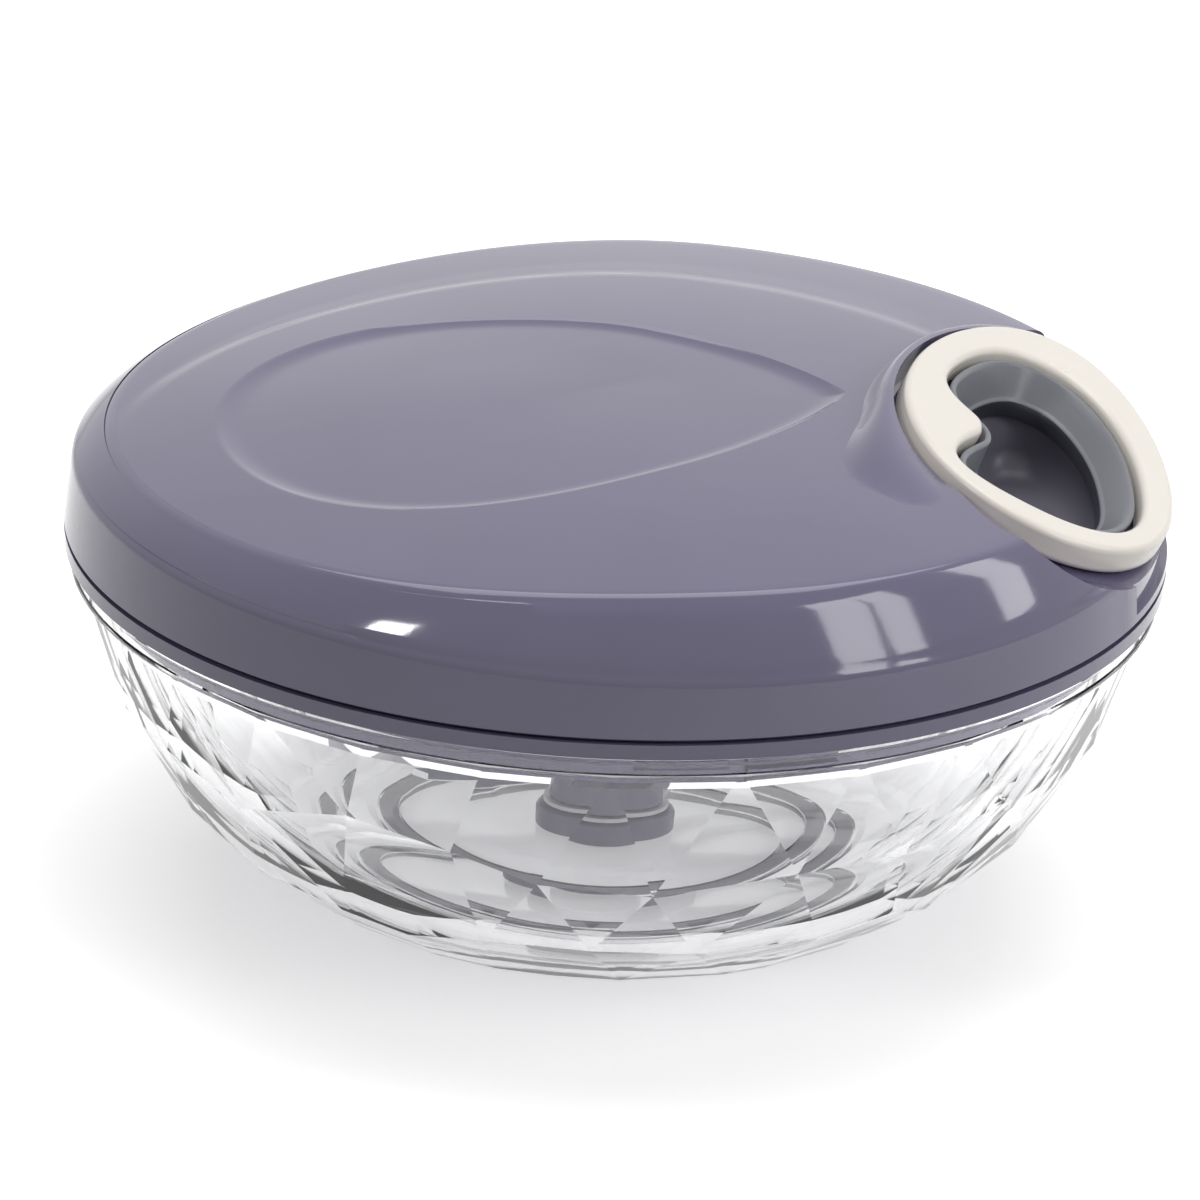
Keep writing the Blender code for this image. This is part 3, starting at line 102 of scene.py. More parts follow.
SEAL_BITE = 0.6 * MM
LUG_COUNT = 3
LUG_HEIGHT = 1.2 * MM
LUG_WIDTH = 12.0 * MM
LUG_TURN = 12.0 * DEG
CATCH_ANGLE = -83.0 * DEG
POT_RADIUS = 30.4 * MM
POT_WALL = 1.6 * MM
POT_DEPTH = 6.5 * MM
POT_FLANGE = 5.8 * MM
POT_FLANGE_THICK = 1.5 * MM
SCREW_COUNT = 3
SCREW_RADIUS = 1.2 * MM
SCREW_HEAD = 2.5 * MM
SCREW_HEAD_THICK = 1.5 * MM
SCREW_GRIP = 10.0 * MM
RECESS_LENGTH = 2.6 * MM
RECESS_WIDTH = 0.6 * MM
RECESS_DEPTH = 1.2 * MM
PILLAR_RADIUS = 3.2 * MM
HUB_SOCKET = 6.9 * MM
HUB_WALL = 1.5 * MM
HUB_DROP = 6.8 * MM
HUB_WEB = 1.6 * MM
RATCHET_RADIUS = 12.0 * MM
RATCHET_ROOT = 9.6 * MM
RATCHET_TEETH = 8
RATCHET_THICK = 3.4 * MM
AXLE_RADIUS = 2.5 * MM
AXLE_HOLD = 12.0 * MM
SPOOL_FLANGE = 1.5 * MM
BOSS_TUBE = 5.0 * MM
CORD_RADIUS = 0.9 * MM
CORD_ROWS = 240
CORD_SIDES = 18
CORD_STRANDS = 3.0
CORD_TWISTS = 20.0
CORD_CORE = 0.87
CORD_BULGE = 0.07
COVER_GAP = 0.5 * MM
COVER_WALL = 2.2 * MM
COVER_ROOF = 3.2 * MM
BOSS_FUSE = 2.2 * MM
BAND_LEAN = 1.0 * MM
BEVEL_WIDTH = 5.0 * MM
BEVEL_SWELL = 0.3 * MM
CREASE_LOW_NEAR = 7.1 * MM
CREASE_LOW_FAR = 9.5 * MM
CREASE_LOW_STEP = 4.8 * MM
STEP_ANGLE = 26.5 * DEG
STEP_SPREAD = 1.4 * DEG
CREASE_HIGH_NEAR = 17.6 * MM
CREASE_HIGH_FAR = 13.5 * MM
DOME_RISE = 5.4 * MM
DOME_LIFT = 0.4 * MM
LEAF_TIP = Vector((30.0 * MM, -2.4 * MM))
LEAF_END = Vector((-54.0 * MM, -12.0 * MM))
LEAF_HALF_WIDTH = 35.0 * MM
LEAF_DEPTH = 0.8 * MM
LEAF_EDGE = 0.09
LEAF_RIM = 1.008
LEAF_ROWS = (0.04, 0.15, 0.3, 0.45, 0.6, 0.72, 0.82, 0.88, 0.91, 0.93, 0.95, 0.97, 0.985, 1.0, LEAF_RIM)
LEAF_FULLNESS = 0.6
LEAF_WIDEST = 0.841
DOME_EDGE = 0.965
FOLD_RADIUS = 45.5 * MM
FOLD_OPEN = 5.9 * MM
FOLD_MIDDLE = 76.0 * DEG
FOLD_BEFORE = 58.0 * DEG
FOLD_BEYOND = 112.0 * DEG
FOLD_SET_OUT = 16.0 * DEG
FOLD_DIE_OUT = 20.0 * DEG
FOLD_DEPTH = 0.35 * MM
RING_INSET = 17.9 * MM
RING_SIDE = -0.4 * MM
RING_LIFT = 15.85 * MM
RING_TILT = 24.0 * DEG
RING_TURN = -7.3 * DEG
RING_DEPTH = 20.1 * MM
RING_WIDTH = 35.2 * MM
RING_POWER = 2.06
RING_TAPER = -0.187
RING_BOW = 0.35 * MM
HOLE_CENTRE = Vector((-0.2 * MM, -2.6 * MM))
HOLE_DEPTH = 15.4 * MM
HOLE_WIDTH = 26.3 * MM
HOLE_POWER = 2.4
HOLE_TAPER = -0.235
HOLE_BOW = -0.9 * MM
SCOOP_START = 243.0 * DEG
SCOOP_END = 350.0 * DEG
SCOOP_FADE = 28.0 * DEG
SCOOP_BEND = 0.054
SCOOP_ROWS = (1.6, 2.4, 3.4, 4.6, 6.0, 7.5, 9.0, 10.5, 12.0)
TOWER_INSET = 1.0 * MM
TOWER_LIP = 1.5 * MM
TOWER_HALF = 23.5 * DEG
LIP_SPREAD = 1.5
RING_TOP = 0.8 * MM
RING_THICK = 4.2 * MM
RING_ROUND = 1.0 * MM
RING_SHY = 0.2 * MM
TAB_REACH = 10.6 * MM
TAB_ANGLE = 228.0 * DEG
TAB_SLOW = 35.0 * DEG
TAB_FAST = 11.5 * DEG
SEAT_MARGIN = 1.0 * MM
LIP_SINK = 1.36 * MM
LIP_LOWER = 0.65 * MM
LIP_START = 86.0 * DEG
LIP_END = 264.0 * DEG
LIP_FADE = 22.0 * DEG
LIP_WIDENS = 196.0 * DEG
LIP_WIDENING = 34.0 * DEG
LIP_ROWS = 110
# How far out in mm, and the share of the lip's height there.
LIP_SHAPE = (
    (-3.5, 1.0), (0.0, 1.0), (0.5, 0.99), (0.9, 0.95), (1.4, 0.84), (2.0, 0.66), (2.6, 0.46), (3.2, 0.29),
    (3.8, 0.16), (4.4, 0.08), (5.0, 0.03), (5.6, 0.0),
)
BEZEL_SINK = 1.2 * MM
BEZEL_GAP = 0.8 * MM
BEZEL_LIP = 0.8 * MM
BEZEL_DEPTH = 7.0 * MM
BEZEL_LEAN = 0.133
BEZEL_DRAFT = 1.0 * MM
BEZEL_SLOPE = 2.9 * MM
BEZEL_CONE = 3.9 * MM
WELL_WALL = 1.2 * MM
WELL_BEND = 5.0 * MM
TAB_BELOW = 0.7
ANCHOR = Vector((-14.2 * MM, -8.5 * MM))
GUIDE_RADIUS = 2.3 * MM
GUIDE_FOOT = 9.0 * MM
CUT_ABOVE = 40.0 * MM

# Light: name, place, width, height and power of each soft box, the point that they face, and how much the
# surroundings and the floor light the part.
LAMPS = (
    ("top_box", (0.0, 0.25, 1.3), 1.3, 1.0, 10.0),
    ("left_spot", (-0.99, -0.81, 0.95), 0.2, 0.14, 2.8),
    ("pane_left", (0.81, -0.67, 0.54), 0.20, 0.62, 2.1),
    ("pane_middle", (0.92, -0.51, 0.54), 0.14, 0.62, 1.45),
    ("pane_right", (1.05, -0.02, 0.54), 0.18, 0.66, 1.9),
)
LAMP_TARGET = Vector((0.0, 0.0, 0.05))
WORLD_LIGHT = 0.32
FLOOR_BOUNCE = 0.15
FLOOR_GAIN = 1.5
FLOOR_GLOW = 0.3
GLOW_POWER = 1.2
WHITE = (1.0, 1.0, 1.0, 1.0)

# Fineness of the dressed pieces.
TURN_STEPS = 144
RIM_STEPS = 180
COVER_STEPS = 288
RING_STEPS = 240

CURVE_HEIGHT = BOWL_HEIGHT - BASE_LIFT + CURVE_ABOVE
LID_RADIUS = BOWL_RADIUS + LID_OVERHANG
CREASE_LOW_RADIUS = LID_RADIUS - BAND_LEAN
CREASE_HIGH_RADIUS = CREASE_LOW_RADIUS - BEVEL_WIDTH
FOOT_INNER = BASE_RADIUS - FOOT_LAND - FOOT_WIDTH


def clamped(value):
    return min(1.0, max(0.0, value))


def eased(value):
    """A share that leaves 0 slowly and comes slowly to 1."""
    share = clamped(value)
    return share * share * (3.0 - 2.0 * share)


def bowl_radius(height):
    rise = clamped((height - BASE_LIFT) / CURVE_HEIGHT)
    return BASE_RADIUS + (BOWL_RADIUS - BASE_RADIUS) * (1.0 - (1.0 - rise) ** 2) ** CURVE_POWER


def bowl_inside(height):
    return bowl_radius(height - 0.6 * BOWL_WALL) - BOWL_WALL


BORE_RADIUS = bowl_inside(BOWL_HEIGHT - BORE_DEPTH)
SKIRT_RADIUS = BORE_RADIUS - SKIRT_CLEAR

DECK_BOTTOM = BOWL_HEIGHT + FIT
DECK_TOP = DECK_BOTTOM + DECK_THICK
CATCH_BOTTOM = DECK_BOTTOM - SEAL_HEIGHT - 2.0 * FIT - 0.2 * MM - LUG_HEIGHT
COVER_BOTTOM = DECK_TOP + COVER_GAP
GAP_LINE = DECK_TOP + 0.5 * COVER_GAP
POT_TOP = DECK_BOTTOM - FIT
POT_BOTTOM = POT_TOP - POT_DEPTH
HUB_TOP_FACE = POT_BOTTOM + POT_WALL + RUN
RATCHET_TOP = HUB_TOP_FACE + RATCHET_THICK
SPOOL_HUB_TOP = RATCHET_TOP + FIT + SPOOL_FLANGE + 2.7 * MM
BOSS_TUBE_BOTTOM = SPOOL_HUB_TOP + FIT
FLOOR_TOP = BASE_LIFT + FLOOR_THICK
BOSS_TOP = FLOOR_TOP + BOSS_HEIGHT
PIN_BOTTOM = FLOOR_TOP - 0.6 * MM
PIN_TOP = PIN_BOTTOM + PIN_LENGTH
SHAFT_SEAT = FLOOR_TOP + 0.9 * MM + SHAFT_HUB_HEIGHT
DOG_TOP = POT_BOTTOM - DOG_BELOW
CAP_BOTTOM = DOG_TOP - DOG_HEIGHT - CAP_COLLAR
TOP_BLADE = CAP_BOTTOM - FIT - BLADE_THICK
LEVEL_STEP = (TOP_BLADE - FIT - SHAFT_SEAT) / (BLADE_COUNT - 1)
SPACER_HEIGHT = LEVEL_STEP - 2.0 * FIT - BLADE_THICK
BLADE_REACH = bowl_inside(SHAFT_SEAT) - BLADE_CLEAR

RING_CENTRE = Vector((LID_RADIUS - RING_INSET, RING_SIDE, GAP_LINE + RING_LIFT))
RING_FRAME = Matrix.Translation(RING_CENTRE) @ Matrix.Rotation(RING_TURN, 4, "Z")
RING_FRAME = RING_FRAME @ Matrix.Rotation(RING_TILT, 4, "Y")
UP = Vector((0.0, 0.0, 1.0))
PULL = RING_FRAME.to_3x3() @ UP


def linear(value):
    value /= 255.0
    return value / 12.92 if value <= 0.04045 else ((value + 0.055) / 1.055) ** 2.4


def rgb(colour):
    return (*[linear(c) for c in colour], 1.0)


def settle(made, **sockets):
    """Sets inputs of a node by name."""
    for name, value in sockets.items():
        made.inputs[name.replace("_", " ")].default_value = value
    return made


def node(tree, kind, **sockets):
    return settle(tree.nodes.new(f"ShaderNode{kind}"), **sockets)


def wire(start, output, end, socket):
    start.id_data.links.new(start.outputs[output], end.inputs[socket])


def blank_look(name):
    made = bpy.data.materials.new(name)
    made.use_nodes = True
    return made, made.node_tree, made.node_tree.nodes["Principled BSDF"]


def colour_mix(tree, first, second):
    mix = node(tree, "Mix")
    mix.data_type = "RGBA"
    return settle(mix, A=first, B=second)


def mixed_surface(tree, share, first, second):
    """Shows the first shader, and the second one where share is 1."""
    mix = node(tree, "MixShader")
    for socket, source in zip(mix.inputs, (share, first.outputs[0], second.outputs[0])):
        tree.links.new(source, socket)
    wire(mix, "Shader", tree.nodes["Material Output"], "Surface")


def plastic(name, colour, roughness, grain=900.0, bump=0.02, vary=0.04, coat=0.0, metallic=0.0):
    """Moulded plastic or metal: a mottled colour, uneven gloss and a fine orange-peel bump."""
    made, tree, shader = blank_look(name)
    settle(shader, Metallic=metallic, Coat_Weight=coat, Coat_Roughness=0.04)
    place = node(tree, "TexCoord")
    mottle = node(tree, "TexNoise", Scale=60.0, Detail=3.0)
    wire(place, "Object", mottle, "Vector")
    darker = rgb([c * (1.0 - vary) for c in colour])
    tint = colour_mix(tree, darker, rgb([min(255.0, c * (1.0 + vary)) for c in colour]))
    wire(mottle, "Fac", tint, "Factor")
    wire(tint, "Result", shader, "Base Color")
    gloss = node(tree, "MapRange", To_Min=roughness * 0.85, To_Max=roughness * 1.2)
    wire(mottle, "Fac", gloss, "Value")
    wire(gloss, "Result", shader, "Roughness")
    fine = node(tree, "TexNoise", Scale=grain, Detail=2.0)
    wire(place, "Object", fine, "Vector")
    raise_up = node(tree, "Bump", Strength=bump, Distance=0.0002)
    wire(fine, "Fac", raise_up, "Height")
    wire(raise_up, "Normal", shader, "Normal")
    return made


def clear_plastic(name):
    """Clear plastic with a faint haze, whose shadow is light."""
    made, tree, shader = blank_look(name)
    settle(shader, Base_Color=(0.942, 0.944, 0.949, 1.0), Transmission_Weight=1.0, IOR=1.49)
    haze = node(tree, "TexNoise", Scale=45.0, Detail=4.0)
    wire(node(tree, "TexCoord"), "Object", haze, "Vector")
    gloss = node(tree, "MapRange", To_Min=0.0, To_Max=0.03)
    wire(haze, "Fac", gloss, "Value")
    wire(gloss, "Result", shader, "Roughness")
    through = node(tree, "BsdfTransparent", Color=(0.84, 0.84, 0.845, 1.0))
    mixed_surface(tree, node(tree, "LightPath").outputs["Is Shadow Ray"], shader, through)
    return made


def brushed(name, colour, roughness, along):
    """Stainless steel with fine grinding lines across one direction."""
    made = plastic(name, colour, roughness, metallic=1.0, vary=0.02)
    tree = made.node_tree
    stretch = node(tree, "Mapping", Scale=along)
    lines = node(tree, "TexNoise", Scale=300.0, Detail=3.0)
    wire(tree.nodes["Texture Coordinate"], "Object", stretch, "Vector")
    wire(stretch, "Vector", lines, "Vector")
    wire(lines, "Fac", settle(tree.nodes["Bump"], Strength=0.12), "Height")
    return made


def placed(name, data):
    obj = bpy.data.objects.new(name, data)
    bpy.context.scene.collection.objects.link(obj)
    return obj


def link(name, mesh, made=None):
    if made:
        mesh.materials.append(made)
    return placed(name, mesh)


def solid(name, bm, made=None):
    """Turns bm, whose faces close it all round, into an object."""
    bmesh.ops.recalc_face_normals(bm, faces=bm.faces)
    mesh = bpy.data.meshes.new(name)
    bm.to_mesh(mesh)
    bm.free()
    smooth(mesh)
    return link(name, mesh, made)


def smooth(mesh, angle=30.0):
    mesh.shade_smooth()
    mesh.set_sharp_from_angle(angle=angle * DEG)


def frozen(obj, made=None):
    """Applies the modifiers or the curve of obj to a mesh of the same name."""
    name = obj.name
    bpy.context.view_layer.update()
    graph = bpy.context.evaluated_depsgraph_get()
    mesh = bpy.data.meshes.new_from_object(obj.evaluated_get(graph))
    mesh.transform(obj.matrix_world)
    bpy.data.objects.remove(obj, do_unlink=True)
    mesh.materials.clear()
    weld = bmesh.new()
    weld.from_mesh(mesh)
    bmesh.ops.remove_doubles(weld, verts=weld.verts, dist=0.002 * MM)
    weld.to_mesh(mesh)
    weld.free()
    mesh.name = name
    return link(name, mesh, made)


def kept_flat(obj):
    weighted = obj.modifiers.new("Flat faces", "WEIGHTED_NORMAL")
    weighted.keep_sharp = True
    smooth(obj.data, 60.0)
    return obj


def softened(obj, width, segments=2):
    """Rounds the edges of obj and keeps its flat faces flat."""
    bevel = obj.modifiers.new("Soften", "BEVEL")
    bevel.width = width
    bevel.segments = segments
    bevel.limit_method = "ANGLE"
    bevel.angle_limit = 30.0 * DEG
    return kept_flat(obj)


def combined(obj, other, operation):
    """Joins other to obj, or cuts it away, and drops it."""
    modifier = obj.modifiers.new(operation, "BOOLEAN")
    modifier.operation = operation
    modifier.object = other
    modifier.solver = "EXACT"
    result = frozen(obj, *obj.data.materials[:1])
    bpy.data.objects.remove(other, do_unlink=True)
    return result


def cut(obj, other):
    return combined(obj, other, "DIFFERENCE")


def joined(obj, other):
    return combined(obj, other, "UNION")


def loft(name, loops, made=None, ring=False):
    """Joins each loop of points to the next, and caps both ends or joins them as a ring."""
    bm = bmesh.new()
    rows = [[bm.verts.new(point) for point in loop] for loop in loops]
    for first, second in zip(rows, rows[1:] + rows[:1] if ring else rows[1:]):
        count = max(len(first), len(second))
        for i in range(count):
            j = (i + 1) % count
            corners = [first[k % len(first)] for k in (i, j)] + [second[k % len(second)] for k in (j, i)]
            corners = list(dict.fromkeys(corners))
            if len(corners) > 2:
                bm.faces.new(corners)
    if not ring:
        bm.faces.new(rows[0])
        bm.faces.new(rows[-1])
    return solid(name, bm, made)


def turned(name, profile, made=None, steps=TURN_STEPS, centre=(0.0, 0.0)):
    """A profile of (radius, height) pairs turned about an upright axis."""
    loops = []
    for radius, height in profile:
        row = circle(radius, steps, centre) if radius > 1e-7 else [centre]
        loops.append([(*at, height) for at in row])
    return loft(name, loops, made, ring=True)


def rod(name, radius, bottom, top, steps, centre=(0.0, 0.0)):
    profile = [(0.0, top), (radius, top), (radius, bottom), (0.0, bottom)]
    return turned(name, profile, steps=steps, centre=centre)


def hoop(name, inner, outer, bottom, top, made=None, steps=TURN_STEPS):
    return turned(name, [(outer, top), (outer, bottom), (inner, bottom), (inner, top)], made, steps)


def around(radius, height, *steps):
    """Points of a profile, each given in mm out from radius and up from height."""
    return [(radius + out * MM, height + up * MM) for out, up in steps]


def polar(radius, angle):
    return (radius * cos(angle), radius * sin(angle))


def all_round(count):
    return [FULL_TURN * i / count for i in range(count)]


def circle(radius, count, centre=(0.0, 0.0)):
    return [(centre[0] + radius * cos(a), centre[1] + radius * sin(a)) for a in all_round(count)]


def drawn(name, lines, depth, segments, cyclic=False):
    """A curve through each line of points."""
    curve = bpy.data.curves.new(name, "CURVE")
    curve.dimensions = "2D" if cyclic else "3D"
    curve.bevel_depth = depth
    curve.bevel_resolution = segments
    for line in lines:
        spline = curve.splines.new("POLY")
        spline.points.add(len(line) - 1)
        for point, at in zip(spline.points, line):
            point.co = (*Vector(at).to_3d(), 1.0)
        spline.use_cyclic_u = cyclic
    return placed(name, curve)


def plate(name, outlines, bottom, top, made=None, rounding=0.0, matrix=Matrix(), segments=2):
    """A flat plate with the given outline, and a hole for each further one."""
    blank = drawn(name, outlines, rounding, segments, cyclic=True)
    blank.data.fill_mode = "BOTH"
    blank.data.extrude = 0.5 * (top - bottom) - rounding
    blank.matrix_world = matrix @ Matrix.Translation((0.0, 0.0, 0.5 * (bottom + top)))
    obj = frozen(blank, made)
    smooth(obj.data, 35.0)
    return obj


def block(name, size, centre):
    bm = bmesh.new()
    scale = Matrix.Diagonal((*size, 1.0))
    bmesh.ops.create_cube(bm, size=1.0, matrix=Matrix.Translation(centre) @ scale)
    return solid(name, bm)


def stands_for(obj, body, slot, *nodes):
    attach(obj, body)
    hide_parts(*nodes)


def facet_loops():
    """Corners of the facets in rows from the rim down, each moved a little."""
    rng = random.Random(FACET_SEED)
    top = BOWL_HEIGHT - RIM_BAND
    levels = [top] + [BASE_LIFT + share * (top - BASE_LIFT) for share in FACET_ROWS] + [BASE_LIFT]
    step = FULL_TURN / FACET_COLUMNS
    rows = []
    for index, level in enumerate(levels):
        inner_row = 0 < index < len(levels) - 1
        row = []
        for column in range(FACET_COLUMNS):
            angle = (column + 0.5 * (index % 2)) * step
            height = level
            if inner_row:
                gap = min(levels[index - 1] - level, level - levels[index + 1])
                angle += rng.uniform(-FACET_SWAY, FACET_SWAY) * step
                height += rng.uniform(-FACET_SWAY, FACET_SWAY) * gap
            row.append((*polar(bowl_radius(height), angle), height))
        rows.append(row)
    return rows


def faceted_body(made):
    bm = bmesh.new()
    rows = [[bm.verts.new(point) for point in row] for row in facet_loops()]
    for index, (upper, lower) in enumerate(zip(rows, rows[1:])):
        for i in range(FACET_COLUMNS):
            j = (i + 1) % FACET_COLUMNS
            if index % 2:
                bm.faces.new((upper[i], lower[j], upper[j]))
                bm.faces.new((upper[i], lower[i], lower[j]))
            else:
                bm.faces.new((upper[i], lower[i], upper[j]))
                bm.faces.new((upper[j], lower[i], lower[j]))
    bm.faces.new(rows[0])
    bm.faces.new(rows[-1])
    return solid("bowl_shell", bm, made)


def with_lugs(obj, name, inner, outer, bottom, turn):
    """Joins LUG_COUNT blocks, evenly spread from the angle turn on, to obj."""
    half = 0.5 * LUG_WIDTH / outer
    for index, further in enumerate(all_round(LUG_COUNT)):
        middle = turn + further
        steps = [middle + half * (k / 5.0 - 1.0) for k in range(11)]
        outline = [polar(outer, a) for a in steps] + [polar(inner, a) for a in reversed(steps)]
        obj = joined(obj, plate(f"{name}_{index + 1}", [outline], bottom, bottom + LUG_HEIGHT))
    return obj


def build_bowl(looks):
    bowl = faceted_body(looks["clear"])
    rim_bottom = BOWL_HEIGHT - RIM_BAND - 0.4 * MM
    rim_radius = BOWL_RADIUS + RIM_PROUD
    bead = ((-0.6, 0.0), (-0.2, -0.12), (0.0, -0.4), (0.0, -0.7), (-0.2, -0.98), (-0.5, -1.1))
    below = ((-0.5, 0.85), (-0.25, 0.7), (-0.15, 0.4), (-0.3, 0.12), (-0.6, 0.0))
    rim = [(0.0, BOWL_HEIGHT), *around(rim_radius, BOWL_HEIGHT, *bead)]
    rim += [*around(rim_radius, rim_bottom, *below), (0.0, rim_bottom)]
    bowl = joined(bowl, turned("rim_blank", rim, steps=RIM_STEPS))
    straight = BOWL_HEIGHT - BORE_DEPTH
    heights = [FLOOR_TOP + (straight - FLOOR_TOP) * (i / 30.0) ** 1.6 for i in range(31)]
    mouth = BORE_RADIUS + 0.6 * MM
    inside = [(0.0, BOWL_HEIGHT + 5.0 * MM), (mouth, BOWL_HEIGHT + 5.0 * MM), (mouth, BOWL_HEIGHT)]
    inside.append((BORE_RADIUS, BOWL_HEIGHT - 0.8 * MM))
    inside += [(bowl_inside(height), height) for height in reversed(heights)]
    inside.append((0.0, FLOOR_TOP))
    bowl = cut(bowl, turned("bowl_cavity", inside, steps=RIM_STEPS))
    boss = [(0.0, BOSS_TOP), *around(BOSS_RADIUS, BOSS_TOP, (-0.4, 0.0), (0.0, -0.4))]
    boss += [(BOSS_RADIUS, FLOOR_TOP - 1.0 * MM), (0.0, FLOOR_TOP - 1.0 * MM)]
    bowl = joined(bowl, turned("bowl_boss", boss, steps=48))
    bowl = cut(bowl, rod("pin_bore", PIN_RADIUS + FIT, PIN_BOTTOM, BOSS_TOP + 2.0 * MM, 32))
    outer = FOOT_INNER + FOOT_WIDTH
    low, high = -1.0 * MM, FOOT_HEIGHT + FIT
    bowl = cut(bowl, hoop("foot_groove", FOOT_INNER - FIT, outer + FIT, low, high, steps=RIM_STEPS))
    tips, roots = SKIRT_RADIUS + RUN, BORE_RADIUS + 0.8 * MM
    bowl = with_lugs(bowl, "bowl_catch", tips, roots, CATCH_BOTTOM, CATCH_ANGLE)
    smooth(bowl.data, 4.0)
    stands_for(bowl, "bowl", "clear_plastic", "bowl")
    foot = hoop("foot_band", FOOT_INNER, outer, 0.0, FOOT_HEIGHT, looks["silicone"])
    stands_for(softened(foot, 0.35 * MM), "bowl", "silicone", "foot_ring")
    tip = [(0.0, PIN_TOP), *around(PIN_RADIUS, PIN_TOP, (-0.5, 0.0), (-0.15, -0.2), (0.0, -0.6))]
    tip += [(PIN_RADIUS, PIN_BOTTOM + FIT), (0.0, PIN_BOTTOM + FIT)]
    pin = turned("blade_pin", tip, looks["steel"], steps=32)
    stands_for(pin, "bowl", "stainless", "pivot_pin")


def crease_share(angle):
    """1 on the ring's side of the lid and 0 on the far side."""
    return 0.5 * (1.0 + cos(angle))


def crease_high(angle):
    return CREASE_HIGH_FAR + (CREASE_HIGH_NEAR - CREASE_HIGH_FAR) * eased(crease_share(angle) / 0.6)


def way_round(angle, middle=0.0):
    """The angle as seen from middle, from half a turn back to half a turn on."""
    return (angle - middle + pi) % FULL_TURN - pi


def crease_low(angle):
    step = 0.5 - 0.5 * (abs(way_round(angle)) - STEP_ANGLE) / STEP_SPREAD
    base = CREASE_LOW_NEAR + (CREASE_LOW_FAR - CREASE_LOW_NEAR) * (1.0 - crease_share(angle)) ** 1.5
    return base + CREASE_LOW_STEP * eased(step)


def dome_height(x, y):
    """How far the top face stands above the gap line."""
    radius, angle = hypot(x, y), atan2(y, x)
    share = radius / CREASE_HIGH_RADIUS
    middle = 0.5 * (CREASE_HIGH_NEAR + CREASE_HIGH_FAR) + DOME_LIFT
    lean = (crease_high(angle) - middle) * min(share, 1.0)
    return middle + lean + DOME_RISE * (1.0 - share * share) - fold_drop(radius, angle)


def on_dome(x, y, below=0.0):
    return x, y, GAP_LINE + dome_height(x, y) - below


def fold_drop(radius, angle):
    """A shallow fold of the top face that runs from beside the ring round the far side of the recess."""
    along = way_round(angle, FOLD_MIDDLE)
    fold = FOLD_RADIUS + FOLD_OPEN * along * along
    ends = clamped(min((along + FOLD_BEFORE) / FOLD_SET_OUT, (FOLD_BEYOND - along) / FOLD_DIE_OUT))
    beyond = (radius - fold) / (2.5 * MM)
    if beyond <= 0.0 or ends <= 0.0 or fold >= CREASE_HIGH_RADIUS:
        return 0.0
    back = max(0.0, (CREASE_HIGH_RADIUS - radius) / (CREASE_HIGH_RADIUS - fold))
    return FOLD_DEPTH * ends * min(1.0, beyond) * min(1.0, back * 1.6)


def outside_height(x, y):
    """How far the top face or the bevel stands above the gap line."""
    radius = hypot(x, y)
    if radius <= CREASE_HIGH_RADIUS:
        return dome_height(x, y)
    angle = atan2(y, x)
    share = (radius - CREASE_HIGH_RADIUS) / (CREASE_LOW_RADIUS - CREASE_HIGH_RADIUS)
    return crease_high(angle) + (crease_low(angle) - crease_high(angle)) * min(share, 1.6)


def leaf_point(share, turn):
    """A point of the leaf-shaped recess, whose edge is share 1."""
    axis = 0.5 * (LEAF_TIP - LEAF_END)
    middle = 0.5 * (LEAF_TIP + LEAF_END)
    across = Vector((-axis.y, axis.x)).normalized()
    side = sin(turn) * abs(sin(0.5 * turn)) ** LEAF_FULLNESS / LEAF_WIDEST
    return middle + share * (axis * cos(turn) + across * LEAF_HALF_WIDTH * side)


def scoop_outline(reach):
    """The seat's edge, moved out by reach where the lid is scooped away round the near end."""
    points = []
    for turn in all_round(RING_STEPS):
        share = eased(min((turn - SCOOP_START) / SCOOP_FADE, (SCOOP_END - turn) / SCOOP_FADE))
        points.append(ring_point(SEAT_MARGIN + (reach - SEAT_MARGIN) * share, turn))
    return points


def egg_point(turn, depth, width, power, taper, bow):
    """A point of a superellipse whose depth tapers along its width and whose middle line bows."""
    c, s = cos(turn), sin(turn)
    side = copysign(abs(s) ** (2.0 / power), s)
    reach = copysign(abs(c) ** (2.0 / power), c)
    return depth * reach * (1.0 + taper * side) + bow * side * side, width * side


def ring_point(margin, turn):
    return egg_point(turn, RING_DEPTH + margin, RING_WIDTH + margin, RING_POWER, RING_TAPER, RING_BOW)


def ring_outline(margin, count=RING_STEPS):
    return [ring_point(margin, turn) for turn in all_round(count)]


def hole_point(turn, tab):
    """A point of the opening's edge, which the finger tab pulls in."""
    x, y = egg_point(turn, HOLE_DEPTH, HOLE_WIDTH, HOLE_POWER, HOLE_TAPER, HOLE_BOW)
    angle = atan2(y, x)
    away = way_round(angle, TAB_ANGLE)
    spread = TAB_FAST if away > 0.0 else TAB_SLOW
    radius = hypot(x, y) - tab * TAB_REACH * exp(-((away / spread) ** 2))
    return HOLE_CENTRE + Vector(polar(radius, angle))


def hole_outline(inset, tab=1.0):
    """The ring's opening, inset all round, with more points along the tab."""
    edge = []
    turn = 0.0
    while turn < 359.9:
        edge.append(hole_point(turn * DEG, tab))
        turn += 0.625 if 180.0 <= turn < 245.0 else 1.25
    points = []
    for i, point in enumerate(edge):
        along = (edge[(i + 1) % len(edge)] - edge[i - 1]).normalized()
        points.append(point + inset * Vector((-along.y, along.x)))
    return points


def at_ring(outline, height):
    raise_to = height if callable(height) else (lambda x: height)
    return [RING_FRAME @ Vector((x, y, raise_to(x))) for x, y in outline]


def bezel_low(x):
    return -BEZEL_DEPTH + BEZEL_LEAN * x


